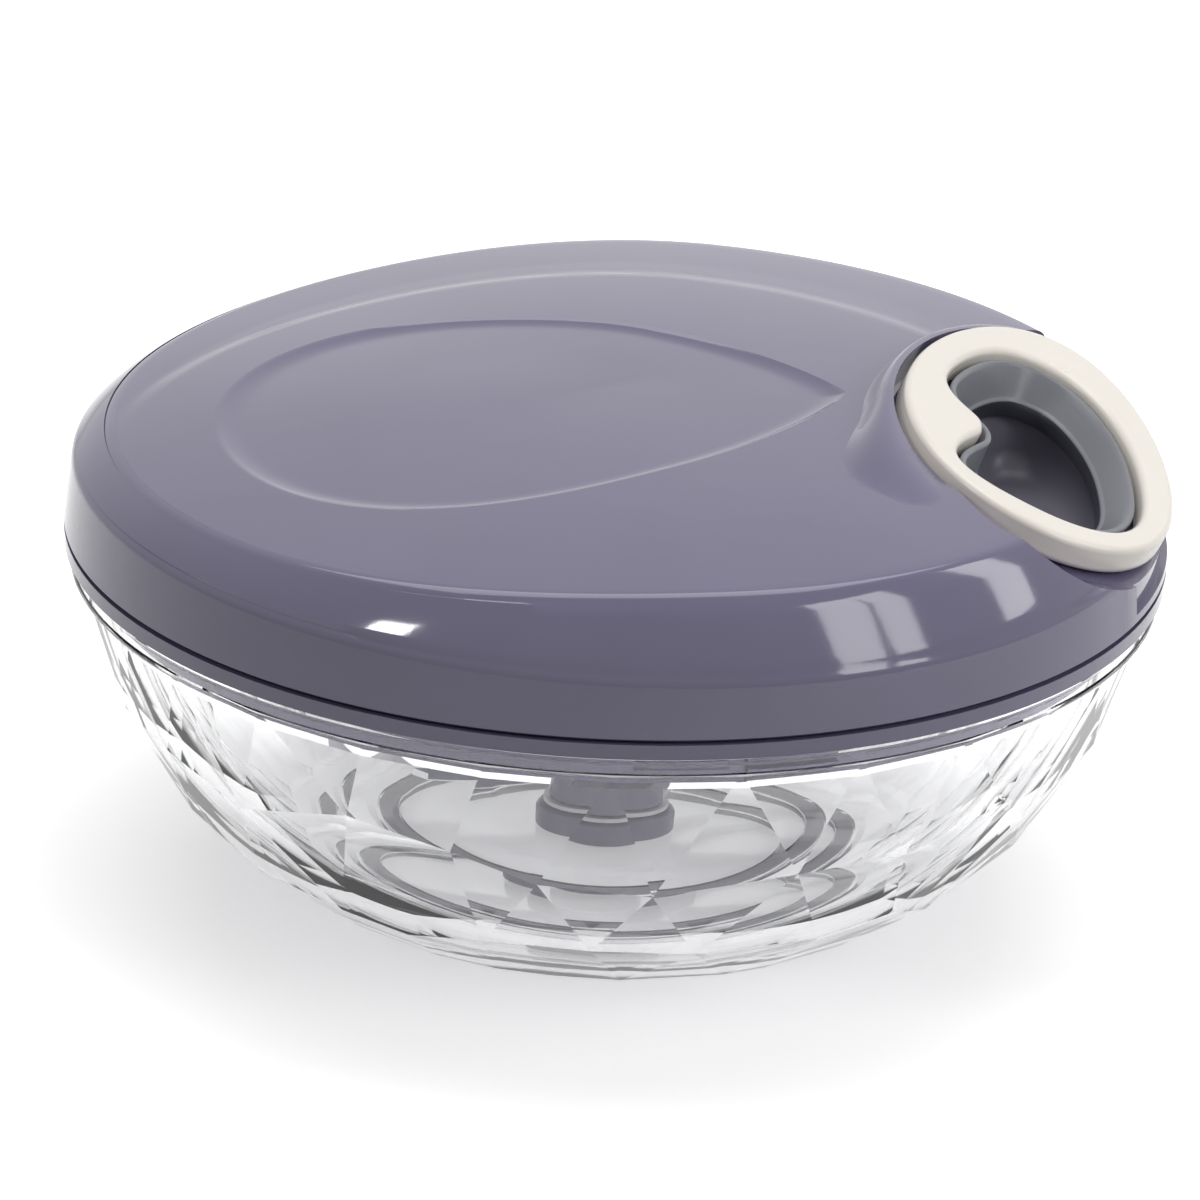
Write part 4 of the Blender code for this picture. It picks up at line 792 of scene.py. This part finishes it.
def bezel_step(x):
    """Where the sloped part of the bezel gives way to its upright part."""
    top = RING_TOP - BEZEL_SINK
    return top + 0.58 * (bezel_low(x) - top)


def rounded_corner(before, corner, after, reach):
    """Points of a soft bend at corner, as (radius, height) pairs."""
    a, b, c = Vector(before), Vector(corner), Vector(after)
    start = b + (a - b).normalized() * min(reach, 0.45 * (a - b).length)
    end = b + (c - b).normalized() * min(reach, 0.45 * (c - b).length)
    steps = (0.0, 0.25, 0.5, 0.75, 1.0)
    return [(1.0 - t) ** 2 * start + 2.0 * t * (1.0 - t) * b + t * t * end for t in steps]


def cover_blank(looks):
    """The lid's outside as one net: leaf recess, dome, upper crease, bevel, lower crease, side."""
    turns = all_round(COVER_STEPS)
    axis = LEAF_TIP - LEAF_END
    aim = atan2(axis.y, axis.x)
    loops = []
    for share in LEAF_ROWS:
        inward = clamped((1.0 - share) / LEAF_EDGE)
        depth = LEAF_DEPTH * (1.0 - (1.0 - inward) ** 2)
        loops.append([on_dome(*leaf_point(share, turn), depth) for turn in turns])
    rim = [Vector(polar(CREASE_HIGH_RADIUS, turn + aim)) for turn in turns]
    edge = [leaf_point(LEAF_RIM, turn) for turn in turns]
    for k in range(1, 36):
        share = (k / 36.0) ** 1.1
        loops.append([on_dome(*(near + (far - near) * share * DOME_EDGE)) for near, far in zip(edge, rim)])
    profiles = []
    for turn in turns:
        angle = turn + aim
        inner = DOME_EDGE * CREASE_HIGH_RADIUS
        x, y = polar(inner, angle)
        top = (inner, dome_height(x, y))
        high = (CREASE_HIGH_RADIUS, crease_high(angle))
        low = (CREASE_LOW_RADIUS, crease_low(angle))
        foot = (LID_RADIUS, COVER_BOTTOM - GAP_LINE)
        line = rounded_corner(top, high, low, 1.0 * MM)
        start, end = Vector(high), Vector(low)
        out = Vector((start.y - end.y, end.x - start.x)).normalized()
        for k in range(1, 8):
            share = k / 8.0
            line.append(start + (end - start) * share + out * BEVEL_SWELL * 4.0 * share * (1.0 - share))
        line += rounded_corner(high, low, foot, 0.8 * MM)
        line += [Vector((LID_RADIUS, foot[1] + 0.25 * MM)), Vector((LID_RADIUS - 0.25 * MM, foot[1]))]
        profiles.append([(*polar(r, angle), GAP_LINE + z) for r, z in line])
    loops += [list(row) for row in zip(*profiles)]
    return loft("cover_shell", loops, looks["purple"])


def lip_body():
    """The low lip round the ring, wider and lower on the ring's near flank."""
    loops = []
    for i in range(LIP_ROWS + 1):
        turn = LIP_START + (LIP_END - LIP_START) * i / LIP_ROWS
        rise = min(1.0, (turn - LIP_START) / LIP_FADE, (LIP_END - turn) / LIP_FADE)
        wide = clamped((turn - LIP_WIDENS) / LIP_WIDENING)
        reach = min(1.0, 0.3 + (turn - LIP_START) / (60.0 * DEG)) + LIP_SPREAD * eased(wide)
        crest = RING_TOP - LIP_SINK - LIP_LOWER * wide
        row = []
        for margin, share in LIP_SHAPE:
            x, y = ring_point(SEAT_MARGIN + margin * reach * MM, turn)
            flat = RING_FRAME @ Vector((x, y, crest))
            skin = GAP_LINE + outside_height(flat.x, flat.y) - 0.6 * MM * (1.0 - rise * share)
            row.append((flat.x, flat.y, skin + share * rise * max(0.0, flat.z - skin)))
        last, first = row[-1], row[0]
        row.append((*last[:2], last[2] - 2.0 * MM))
        row.append((*first[:2], min(last[2], first[2]) - 2.0 * MM))
        loops.append(row)
    return loft("ring_lip", loops)


def shell_inside():
    """The lid's hollow, which follows the outside at the thickness of its wall."""
    angles = all_round(96)
    edge = COVER_BOTTOM - 2.0 * MM
    loops = [[(*polar(LID_RADIUS - COVER_WALL, a), edge) for a in angles]]
    low = [GAP_LINE + crease_low(a) - 0.3 * COVER_ROOF for a in angles]
    loops.append([(*polar(CREASE_LOW_RADIUS - COVER_WALL, a), z) for a, z in zip(angles, low)])
    high = [GAP_LINE + crease_high(a) - COVER_ROOF for a in angles]
    loops.append([(*polar(CREASE_HIGH_RADIUS - COVER_WALL, a), z) for a, z in zip(angles, high)])
    for share in (0.8, 0.6, 0.4, 0.2, 0.05):
        radius = (CREASE_HIGH_RADIUS - COVER_WALL) * share
        loops.append([on_dome(*polar(radius, a), COVER_ROOF) for a in angles])
    return loft("cover_hollow", loops)


def screw_places():
    radius = POT_RADIUS + POT_WALL + 0.5 * POT_FLANGE
    return [polar(radius, pi / 3.0 + turn) for turn in all_round(SCREW_COUNT)]


def build_cover(looks):
    cover = joined(cover_blank(looks), lip_body())
    seat = RING_TOP - RING_THICK - FIT
    pocket = [at_ring(ring_outline(SEAT_MARGIN), seat)]
    for reach in SCOOP_ROWS:
        pocket.append(at_ring(scoop_outline(reach * MM), seat + SCOOP_BEND * reach * reach * MM))
    pocket.append(at_ring(scoop_outline(SCOOP_ROWS[-1] * MM), CUT_ABOVE))
    cover = cut(cover, loft("ring_pocket", pocket))
    steps = [TOWER_HALF * (k / 20.0 - 1.0) for k in range(41)]
    outline = [polar(LID_RADIUS + 2.0 * MM, a) for a in steps]
    outline += [polar(LID_RADIUS - TOWER_INSET, a) for a in reversed(steps)]
    cover = cut(cover, plate("tower_wall", [outline], GAP_LINE + TOWER_LIP, CUT_ABOVE + GAP_LINE))
    edge = ring_outline(SEAT_MARGIN + COVER_WALL, 96)
    roof = loft("pocket_floor", [at_ring(edge, seat - COVER_WALL), at_ring(edge, CUT_ABOVE)])
    cover = cut(cover, cut(shell_inside(), roof))
    wide = hole_outline(BEZEL_GAP - FIT)
    narrow = hole_outline(BEZEL_GAP + BEZEL_DRAFT - FIT, TAB_BELOW)
    well = [at_ring(narrow, -16.0 * MM), at_ring(narrow, bezel_low)]
    well += [at_ring(wide, RING_TOP - BEZEL_SINK), at_ring(wide, 20.0 * MM)]
    cover = cut(cover, loft("well_hole", well))
    low = DECK_TOP + FIT
    bore_top = low + SCREW_GRIP + 1.0 * MM
    for index, centre in enumerate(screw_places()):
        fuse = GAP_LINE + dome_height(*centre) - BOSS_FUSE
        pillar = [
            (PILLAR_RADIUS, fuse), (PILLAR_RADIUS, low), (SCREW_RADIUS + FIT, low),
            (SCREW_RADIUS + FIT, bore_top), (0.0, bore_top), (0.0, fuse),
        ]
        cover = joined(cover, turned(f"pillar_{index + 1}", pillar, steps=32, centre=centre))
    fuse = GAP_LINE + dome_height(0.0, 0.0) - BOSS_FUSE
    bore_top = BOSS_TUBE_BOTTOM + AXLE_HOLD
    boss = [
        (0.0, fuse), (BOSS_TUBE, fuse), (BOSS_TUBE, BOSS_TUBE_BOTTOM),
        (AXLE_RADIUS + FIT, BOSS_TUBE_BOTTOM), (AXLE_RADIUS + FIT, bore_top), (0.0, bore_top),
    ]
    cover = joined(cover, turned("axle_boss", boss, steps=48))
    end = RING_FRAME @ Vector((*ANCHOR, seat))
    line = [end - PULL * GUIDE_FOOT, end + PULL * 8.0 * MM]
    passage = drawn("guide_passage", [line], GUIDE_RADIUS + FIT, 6)
    passage.data.use_fill_caps = True
    cover = cut(cover, frozen(passage))
    smooth(cover.data, 24.0)
    stands_for(cover, "lid", "slate_purple", "lid_cover")


def build_ring(looks):
    edges = [ring_outline(-RING_ROUND - RING_SHY), hole_outline(-RING_ROUND)]
    low, high = RING_TOP - RING_THICK, RING_TOP - 0.4 * RING_SHY
    ring = plate("pull_ring", edges, low, high, looks["cream"], RING_ROUND, RING_FRAME, segments=6)
    stands_for(kept_flat(ring), "handle", "cream", "handle_ring")


def build_well(looks):
    """The bezel, with painted shade in dark grey on its upright part below the step, and the cup of the
    finger well under it.
    """
    lift = RING_TOP - BEZEL_SINK
    lip = BEZEL_GAP + BEZEL_LIP
    slope = lip + BEZEL_SLOPE
    under = BEZEL_GAP + BEZEL_DRAFT
    cone = BEZEL_CONE - lip
    rows = [
        (BEZEL_GAP, 1.0, lift - 0.25 * MM), (BEZEL_GAP + 0.1 * MM, 1.0, lift - 0.07 * MM),
        (BEZEL_GAP + 0.3 * MM, 1.0, lift), (lip - 0.15 * MM, 1.0, lift),
        (lip + 0.05 * MM, 1.0, lift - 0.15 * MM),
    ]
    for share in (0.1, 0.3, 0.55, 0.8, 0.97):
        tab = 1.0 + (TAB_BELOW - 1.0) * share
        rows.append((lip + cone * share, tab, lambda x, s=share: lift + (bezel_step(x) - lift) * s))
    step_row = len(rows)
    for out, down in ((0.05, 0.05), (0.35, 0.15), (0.5, 0.4)):
        rows.append((BEZEL_CONE + out * MM, TAB_BELOW, lambda x, d=down * MM: bezel_step(x) - d))
    rows += [
        (slope - 0.05 * MM, TAB_BELOW, lambda x: bezel_low(x) + 0.3 * MM),
        (slope - 0.25 * MM, TAB_BELOW, bezel_low), (under, TAB_BELOW, bezel_low),
    ]
    loops = [at_ring(hole_outline(inset, tab), height) for inset, tab, height in rows]
    bezel = loft("bezel_cone", loops, looks["bezel"], ring=True)
    # Painted shade: the faces below the step take the dark grey, for the shade under the bezel's sloped
    # part.
    bezel.data.materials.append(looks["dark"])
    for face in bezel.data.polygons:
        row = face.index // len(loops[0]) - step_row
        face.material_index = 1 if 2 <= row < 5 else 0
    smooth(bezel.data, 50.0)
    stands_for(bezel, "lid", "dark_grey", "well_bezel")
    bottom = DECK_TOP + FIT
    outer = at_ring(hole_outline(under, TAB_BELOW), lambda x: bezel_low(x) - FIT)
    inner = at_ring(hole_outline(under + WELL_WALL, TAB_BELOW), lambda x: bezel_low(x) - FIT)
    floor_z = bottom + WELL_WALL
    middle = sum((p.xy for p in inner), Vector((0.0, 0.0))) / len(inner)
    cup = [[(p.x, p.y, bottom) for p in outer], outer, inner]
    for k in range(1, 9):
        bend = 0.5 * pi * k / 8.0
        row = []
        for p in inner:
            flat = p.xy - middle
            reach = WELL_BEND * (1.0 - sin(0.5 * pi - bend))
            at = middle + flat * (1.0 - reach / flat.length)
            depth = min(WELL_BEND, 0.8 * (p.z - floor_z))
            row.append((*at, floor_z + depth * (1.0 - sin(bend))))
        cup.append(row)
    well = loft("well_cup", cup, looks["well"])
    smooth(well.data, 50.0)
    stands_for(well, "lid", "slate_purple_dark", "grip_well")


def build_base(looks):
    groove = SKIRT_RADIUS - SEAL_BITE
    seal_bottom = DECK_BOTTOM - FIT - SEAL_HEIGHT
    inner = SKIRT_RADIUS - SKIRT_THICK - SEAL_BITE
    skirt_bottom = DECK_BOTTOM - SKIRT_DEPTH
    hole = POT_RADIUS + 0.2 * MM
    profile = [
        (LID_RADIUS, DECK_TOP), (LID_RADIUS, DECK_BOTTOM), (groove, DECK_BOTTOM),
        (groove, seal_bottom - FIT), (SKIRT_RADIUS, seal_bottom - FIT), (SKIRT_RADIUS, skirt_bottom),
        (inner, skirt_bottom), (inner, DECK_BOTTOM), (hole, DECK_BOTTOM), (hole, DECK_TOP),
    ]
    base = turned("lid_floor", profile, looks["purple"], steps=RIM_STEPS)
    low, turn = CATCH_BOTTOM - RUN - LUG_HEIGHT, CATCH_ANGLE + LUG_TURN
    base = with_lugs(base, "lid_lug", SKIRT_RADIUS - 0.8 * MM, BORE_RADIUS - RUN, low, turn)
    stands_for(softened(base, 0.2 * MM), "lid", "slate_purple", "lid_base")
    inner, outer = groove + FIT, BORE_RADIUS - FIT
    top = seal_bottom + SEAL_HEIGHT
    seal = hoop("seal_ring", inner, outer, seal_bottom, top, looks["silicone"], RIM_STEPS)
    stands_for(softened(seal, 0.3 * MM, 3), "seal", "silicone", "lid_seal")


def blade_edges(reach):
    """Cutting edge and whole outline of a wing that sweeps back as it leaves the hub."""
    front, back = [], []
    for i in range(31):
        share = i / 30.0
        radius = BLADE_ROOT * 0.8 + (reach - BLADE_ROOT * 0.8) * share
        middle = -BLADE_SWEEP * share**1.6
        half = 0.5 * BLADE_WIDTH * (1.0 - 0.68 * share**1.4)
        front.append(polar(radius, middle + half / radius * (1.0 - 0.5 * share)))
        back.append(polar(radius, middle - half / radius))
    turn = atan2(front[0][1], front[0][0])
    span = FULL_TURN - 2.0 * turn
    root = [polar(BLADE_ROOT, -turn - span * k / 36.0) for k in range(1, 36)]
    return front, front + list(reversed(back)) + root


def ground_blade(name, looks, bottom, turn):
    """A flat blade whose leading edge is ground to a slope on its upper side."""
    front, outline = blade_edges(BLADE_REACH)
    top = bottom + BLADE_THICK
    blade = plate(name, [outline, circle(SPIGOT_RADIUS + FIT, 48)], bottom, top, looks["blade"])
    loops = []
    for i, point in enumerate(front[3:], start=3):
        ahead = Vector(front[min(i + 1, len(front) - 1)]) - Vector(front[i - 1])
        inward = Vector((ahead.y, -ahead.x)).normalized()
        out = Vector(point) - inward * 0.4 * MM
        deep = Vector(point) + inward * min(GRIND_WIDTH, 0.5 * MM * (i - 2))
        loops.append([(*out, bottom), (*deep, top + 0.02 * MM), (*out, top + 1.0 * MM)])
    blade = cut(blade, loft("grinding", loops))
    blade.data.transform(Matrix.Rotation(turn, 4, "Z"))
    smooth(blade.data, 12.0)
    return blade


def build_column(looks):
    """The shaft on its pin, three blades with spacers between, and the cap whose dogs take the drive."""
    pin_hole = PIN_RADIUS + RUN
    hub_bottom = SHAFT_SEAT - SHAFT_HUB_HEIGHT
    collar = CAP_BOTTOM + CAP_COLLAR
    spigot_hole = SPIGOT_RADIUS + FIT
    grey = looks["blade_plastic"]
    profile = [(0.0, collar - FIT), (SPIGOT_RADIUS, collar - FIT), (SPIGOT_RADIUS, SHAFT_SEAT)]
    profile += around(SHAFT_HUB_RADIUS, SHAFT_SEAT, (-1.5, 0.0), (-0.4, -0.5), (0.0, -1.6))
    profile += [
        (SHAFT_HUB_RADIUS, hub_bottom), (BOSS_RADIUS + RUN, hub_bottom),
        (BOSS_RADIUS + RUN, BOSS_TOP + FIT), (pin_hole, BOSS_TOP + FIT), (pin_hole, PIN_TOP + FIT),
        (0.0, PIN_TOP + FIT),
    ]
    shaft = turned("column_shaft", profile, grey, steps=96)
    stands_for(softened(shaft, 0.25 * MM), "blades", "blade_plastic", "blade_shaft")
    for index, level in enumerate(("lower", "middle", "upper")):
        bottom = SHAFT_SEAT + index * LEVEL_STEP + FIT
        blade = ground_blade(f"wing_{level}", looks, bottom, BLADE_START + BLADE_PITCH * index)
        stands_for(blade, "blades", "stainless", f"blade_{level}")
        if index == BLADE_COUNT - 1:
            continue
        base = bottom + BLADE_THICK + FIT
        profile = [
            (SPACER_RADIUS - 0.6 * MM, base + SPACER_HEIGHT),
            (SPACER_RADIUS - 0.5 * MM, base + 0.6 * SPACER_HEIGHT),
            (SPACER_RADIUS - 0.25 * MM, base + 0.25 * SPACER_HEIGHT), (SPACER_RADIUS, base),
            (spigot_hole, base), (spigot_hole, base + SPACER_HEIGHT),
        ]
        spacer = turned(f"sleeve_{index + 1}", profile, grey, steps=96)
        stands_for(softened(spacer, 0.25 * MM), "blades", "blade_plastic", f"blade_spacer_{index + 1}")
    profile = [(0.0, DOG_TOP), *around(DOG_CORE, DOG_TOP, (-0.5, 0.0), (0.0, -0.5))]
    profile += [
        (DOG_CORE, collar + 0.6 * MM), (CAP_RADIUS, collar), (CAP_RADIUS, CAP_BOTTOM),
        (spigot_hole, CAP_BOTTOM), (spigot_hole, collar), (0.0, collar),
    ]
    cap = turned("drive_cap", profile, grey, steps=72)
    low, high = collar - 0.4 * MM, DOG_TOP - 0.3 * MM
    size = (2.0 * (CAP_RADIUS - 0.2 * MM), DOG_THICK, high - low)
    dogs = block("dog_blank", size, (0.0, 0.0, 0.5 * (low + high)))
    dogs = cut(dogs, rod("spigot_room", spigot_hole, CAP_BOTTOM - 1.0 * MM, collar, 48))
    cap = joined(cap, dogs)
    stands_for(softened(cap, 0.2 * MM), "blades", "blade_plastic", "shaft_cap")


def screw(name, looks, centre, top, head_top):
    """A pan-head screw with a cross recess in its head."""
    low = head_top - SCREW_HEAD_THICK
    profile = [(0.0, top), *around(SCREW_RADIUS, top, (-0.5, 0.0), (0.0, -1.0)), (SCREW_RADIUS, head_top)]
    profile.append((SCREW_HEAD, head_top))
    profile += [*around(SCREW_HEAD, low, (0.0, 0.7), (-0.25, 0.25), (-0.8, 0.0)), (0.0, low)]
    body = turned(name, profile, looks["steel"], steps=40, centre=centre)
    for across in ((RECESS_LENGTH, RECESS_WIDTH), (RECESS_WIDTH, RECESS_LENGTH)):
        body = cut(body, block("recess", (*across, RECESS_DEPTH), (*centre, low)))
    smooth(body.data, 30.0)
    return body


def build_housing(looks):
    """The cup under the lid that holds the reel, its screws, and the hub that drives the blades."""
    flange_bottom = POT_TOP - POT_FLANGE_THICK
    outer = POT_RADIUS + POT_WALL
    hub_hole = HUB_SOCKET + HUB_WALL + RUN
    profile = [
        (outer + POT_FLANGE, POT_TOP), (outer + POT_FLANGE, flange_bottom), (outer, flange_bottom),
        (outer - 1.0 * MM, POT_BOTTOM), (hub_hole, POT_BOTTOM), (hub_hole, POT_BOTTOM + POT_WALL),
        (POT_RADIUS - 1.0 * MM, POT_BOTTOM + POT_WALL), (POT_RADIUS, POT_TOP),
    ]
    cup = turned("housing_cup", profile, looks["purple"])
    low, high = flange_bottom - 1.0 * MM, POT_TOP + 1.0 * MM
    shank_top = DECK_TOP + FIT + SCREW_GRIP
    for index, centre in enumerate(screw_places()):
        cup = cut(cup, rod(f"flange_hole_{index + 1}", SCREW_RADIUS + FIT, low, high, 32, centre))
        made = screw(f"pan_screw_{index + 1}", looks, centre, shank_top, flange_bottom - FIT)
        stands_for(made, "lid", "stainless", f"housing_screw_{index + 1}")
    stands_for(softened(cup, 0.3 * MM), "lid", "slate_purple", "mechanism_housing")
    socket_bottom = POT_BOTTOM - HUB_DROP + HUB_WEB
    web_top = HUB_TOP_FACE + HUB_WEB
    profile = [
        (HUB_SOCKET + HUB_WALL, web_top), (HUB_SOCKET + HUB_WALL, socket_bottom),
        (HUB_SOCKET, socket_bottom), (HUB_SOCKET, HUB_TOP_FACE), (AXLE_RADIUS + RUN, HUB_TOP_FACE),
        (AXLE_RADIUS + RUN, web_top),
    ]
    hub = turned("hub_socket", profile, looks["nylon"], steps=96)
    tooth = ((RATCHET_ROOT, 0.0), (RATCHET_RADIUS, 0.05), (0.5 * (RATCHET_RADIUS + RATCHET_ROOT), 0.52))
    pitch = FULL_TURN / RATCHET_TEETH
    teeth = [polar(r, i * pitch + share * pitch) for i in range(RATCHET_TEETH) for r, share in tooth]
    ring = circle(HUB_SOCKET + 0.5 * HUB_WALL, 96)
    hub = joined(hub, plate("ratchet_wheel", [teeth, ring], HUB_TOP_FACE, RATCHET_TOP))
    depth = HUB_SOCKET - DOG_CORE - RUN + 0.5 * HUB_WALL
    lug_top = DOG_TOP - 0.8 * MM
    for side in (-1.0, 1.0):
        middle = (0.0, side * (DOG_CORE + RUN + 0.5 * depth), 0.5 * (lug_top + socket_bottom))
        hub = joined(hub, block("socket_lug", (DOG_THICK, depth, lug_top - socket_bottom), middle))
    stands_for(softened(hub, 0.15 * MM), "hub", "nylon", "drive_hub")


def build_cord(looks):
    """The cord that comes out of the guide as the ring is pulled, as a twisted three-strand rope."""
    end = RING_FRAME @ Vector((*ANCHOR, RING_TOP - RING_THICK - FIT))
    start = end - PULL * 6.0 * MM
    stop = end + PULL * 1.2 * MM
    side = PULL.cross(Vector((0.0, 1.0, 0.0))).normalized()
    up = PULL.cross(side)
    loops = []
    for i in range(CORD_ROWS + 1):
        share = i / CORD_ROWS
        row = []
        for a in all_round(CORD_SIDES):
            bulge = CORD_BULGE * cos(CORD_STRANDS * (a - FULL_TURN * CORD_TWISTS * share))
            radius = CORD_RADIUS * (CORD_CORE + bulge)
            row.append(start + (stop - start) * share + (side * cos(a) + up * sin(a)) * radius)
        loops.append(row)
    cord = loft("pull_cord", loops, looks["cord"])
    smooth(cord.data, 60.0)
    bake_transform(cord)


def dress_inside(looks):
    """Gives the CAD nodes that show as they are a finish of their own."""
    finishes = {
        "steel": ("axle_washer", "axle_screw", "spool_axle", "spring_cover", "main_spring", "pawl_pin_1",
                  "pawl_pin_2", "cord_knot"),
        "nylon": ("spool", "pawl_1", "pawl_2"),
        "cord": ("cord_winding", "cord_run"),
        "dark": ("cord_guide",),
    }
    for look, names in finishes.items():
        for name in names:
            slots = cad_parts[name].data.materials
            if slots:
                slots[0] = looks[look]
            else:
                slots.append(looks[look])


def place_camera():
    flat = cos(CAMERA_PITCH)
    ahead = Vector((cos(CAMERA_HEADING) * flat, sin(CAMERA_HEADING) * flat, -sin(CAMERA_PITCH)))
    level = ahead.cross(UP).normalized()
    upright = level.cross(ahead)
    right = cos(CAMERA_ROLL) * level + sin(CAMERA_ROLL) * upright
    up = right.cross(ahead)
    data = bpy.data.cameras.new("camera")
    data.lens = CAMERA_LENS
    data.sensor_width = CAMERA_SENSOR
    data.sensor_fit = "HORIZONTAL"
    data.clip_start = 0.01
    camera = placed("camera", data)
    turn = Matrix((right, up, -ahead)).transposed().to_4x4()
    camera.matrix_world = Matrix.Translation(CAMERA_PLACE) @ turn
    bpy.context.scene.camera = camera


def softbox(name, place, width, height, power):
    """A lamp that shows in gloss, but not to the eye or through glass."""
    data = bpy.data.lights.new(name, "AREA")
    data.shape = "RECTANGLE"
    data.size = width
    data.size_y = height
    data.energy = power
    obj = placed(name, data)
    obj.location = place
    obj.rotation_euler = (LAMP_TARGET - Vector(place)).to_track_quat("-Z", "Y").to_euler()
    obj.visible_camera = False
    obj.visible_transmission = False


def seen_rays(tree, low, high):
    """A value that is high for rays that show the stage by eye, in gloss or through glass, else low."""
    path = node(tree, "LightPath")
    total = path.outputs["Is Camera Ray"]
    for name in ("Is Glossy Ray", "Is Transmission Ray"):
        most = node(tree, "Math")
        most.operation = "MAXIMUM"
        tree.links.new(total, most.inputs[0])
        tree.links.new(path.outputs[name], most.inputs[1])
        total = most.outputs["Value"]
    span = node(tree, "MapRange", To_Min=low, To_Max=high)
    tree.links.new(total, span.inputs["Value"])
    return span.outputs["Result"]


def build_stage():
    world = bpy.data.worlds.new("studio")
    bpy.context.scene.world = world
    world.use_nodes = True
    tree = world.node_tree
    background = settle(tree.nodes["Background"], Color=WHITE)
    tree.links.new(seen_rays(tree, WORLD_LIGHT, 1.0), background.inputs["Strength"])

    mesh = bpy.data.meshes.new("floor")
    half = 4.0
    corners = [(-half, -half, 0.0), (half, -half, 0.0), (half, half, 0.0), (-half, half, 0.0)]
    mesh.from_pydata(corners, [], [(0, 1, 2, 3)])
    made, tree, shader = blank_look("floor")
    floor = link("floor", mesh, made)
    settle(shader, Roughness=0.9, Specular_IOR_Level=0.1)
    tint = colour_mix(tree, (0.0, 0.0, 0.0, 1.0), (FLOOR_GAIN, FLOOR_GAIN, FLOOR_GAIN, 1.0))
    tree.links.new(seen_rays(tree, FLOOR_BOUNCE / FLOOR_GAIN, 1.0), tint.inputs["Factor"])
    wire(tint, "Result", shader, "Base Color")
    glow = node(tree, "Emission", Strength=GLOW_POWER, Color=WHITE)
    mixed_surface(tree, seen_rays(tree, 0.0, FLOOR_GLOW), shader, glow)

    for lamp in LAMPS:
        softbox(*lamp)


def main():
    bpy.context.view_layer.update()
    bpy.context.scene.view_settings.view_transform = "Standard"
    looks = {
        "clear": clear_plastic("clear_bowl"),
        "purple": plastic("slate_purple", (103, 98, 126), 0.08, coat=0.15),
        "well": plastic("slate_purple_dark", (108, 106, 118), 0.35, bump=0.05),
        "bezel": plastic("bezel_grey", (108, 110, 117), 0.34, grain=1500.0, bump=0.08),
        # Dark grey of the cord guide, also used as painted shade on the bezel below its step.
        "dark": plastic("dark_grey", (48, 50, 56), 0.34, grain=1500.0, bump=0.08),
        "cream": plastic("cream", (230, 224, 215), 0.25, vary=0.008),
        "silicone": plastic("silicone", (166, 164, 176), 0.5),
        "blade_plastic": plastic("blade_plastic", (118, 115, 134), 0.25),
        "nylon": plastic("nylon", (226, 226, 222), 0.4, vary=0.02),
        "cord": plastic("cord", (222, 218, 210), 0.85, grain=2500.0, bump=0.3),
        "steel": brushed("stainless", (205, 206, 210), 0.2, (1.0, 14.0, 1.0)),
        "blade": plastic("blade_steel", (226, 227, 230), 0.35, metallic=0.4, bump=0.05),
    }
    place_camera()
    build_bowl(looks)
    build_cover(looks)
    build_ring(looks)
    build_well(looks)
    build_base(looks)
    build_column(looks)
    build_housing(looks)
    build_cord(looks)
    dress_inside(looks)
    build_stage()


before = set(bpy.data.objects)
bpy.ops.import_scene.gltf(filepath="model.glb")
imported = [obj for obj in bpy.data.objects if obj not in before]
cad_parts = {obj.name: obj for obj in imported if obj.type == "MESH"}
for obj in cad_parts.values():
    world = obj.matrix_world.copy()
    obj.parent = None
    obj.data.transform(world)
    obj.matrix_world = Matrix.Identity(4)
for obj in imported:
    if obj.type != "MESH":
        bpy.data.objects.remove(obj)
main()
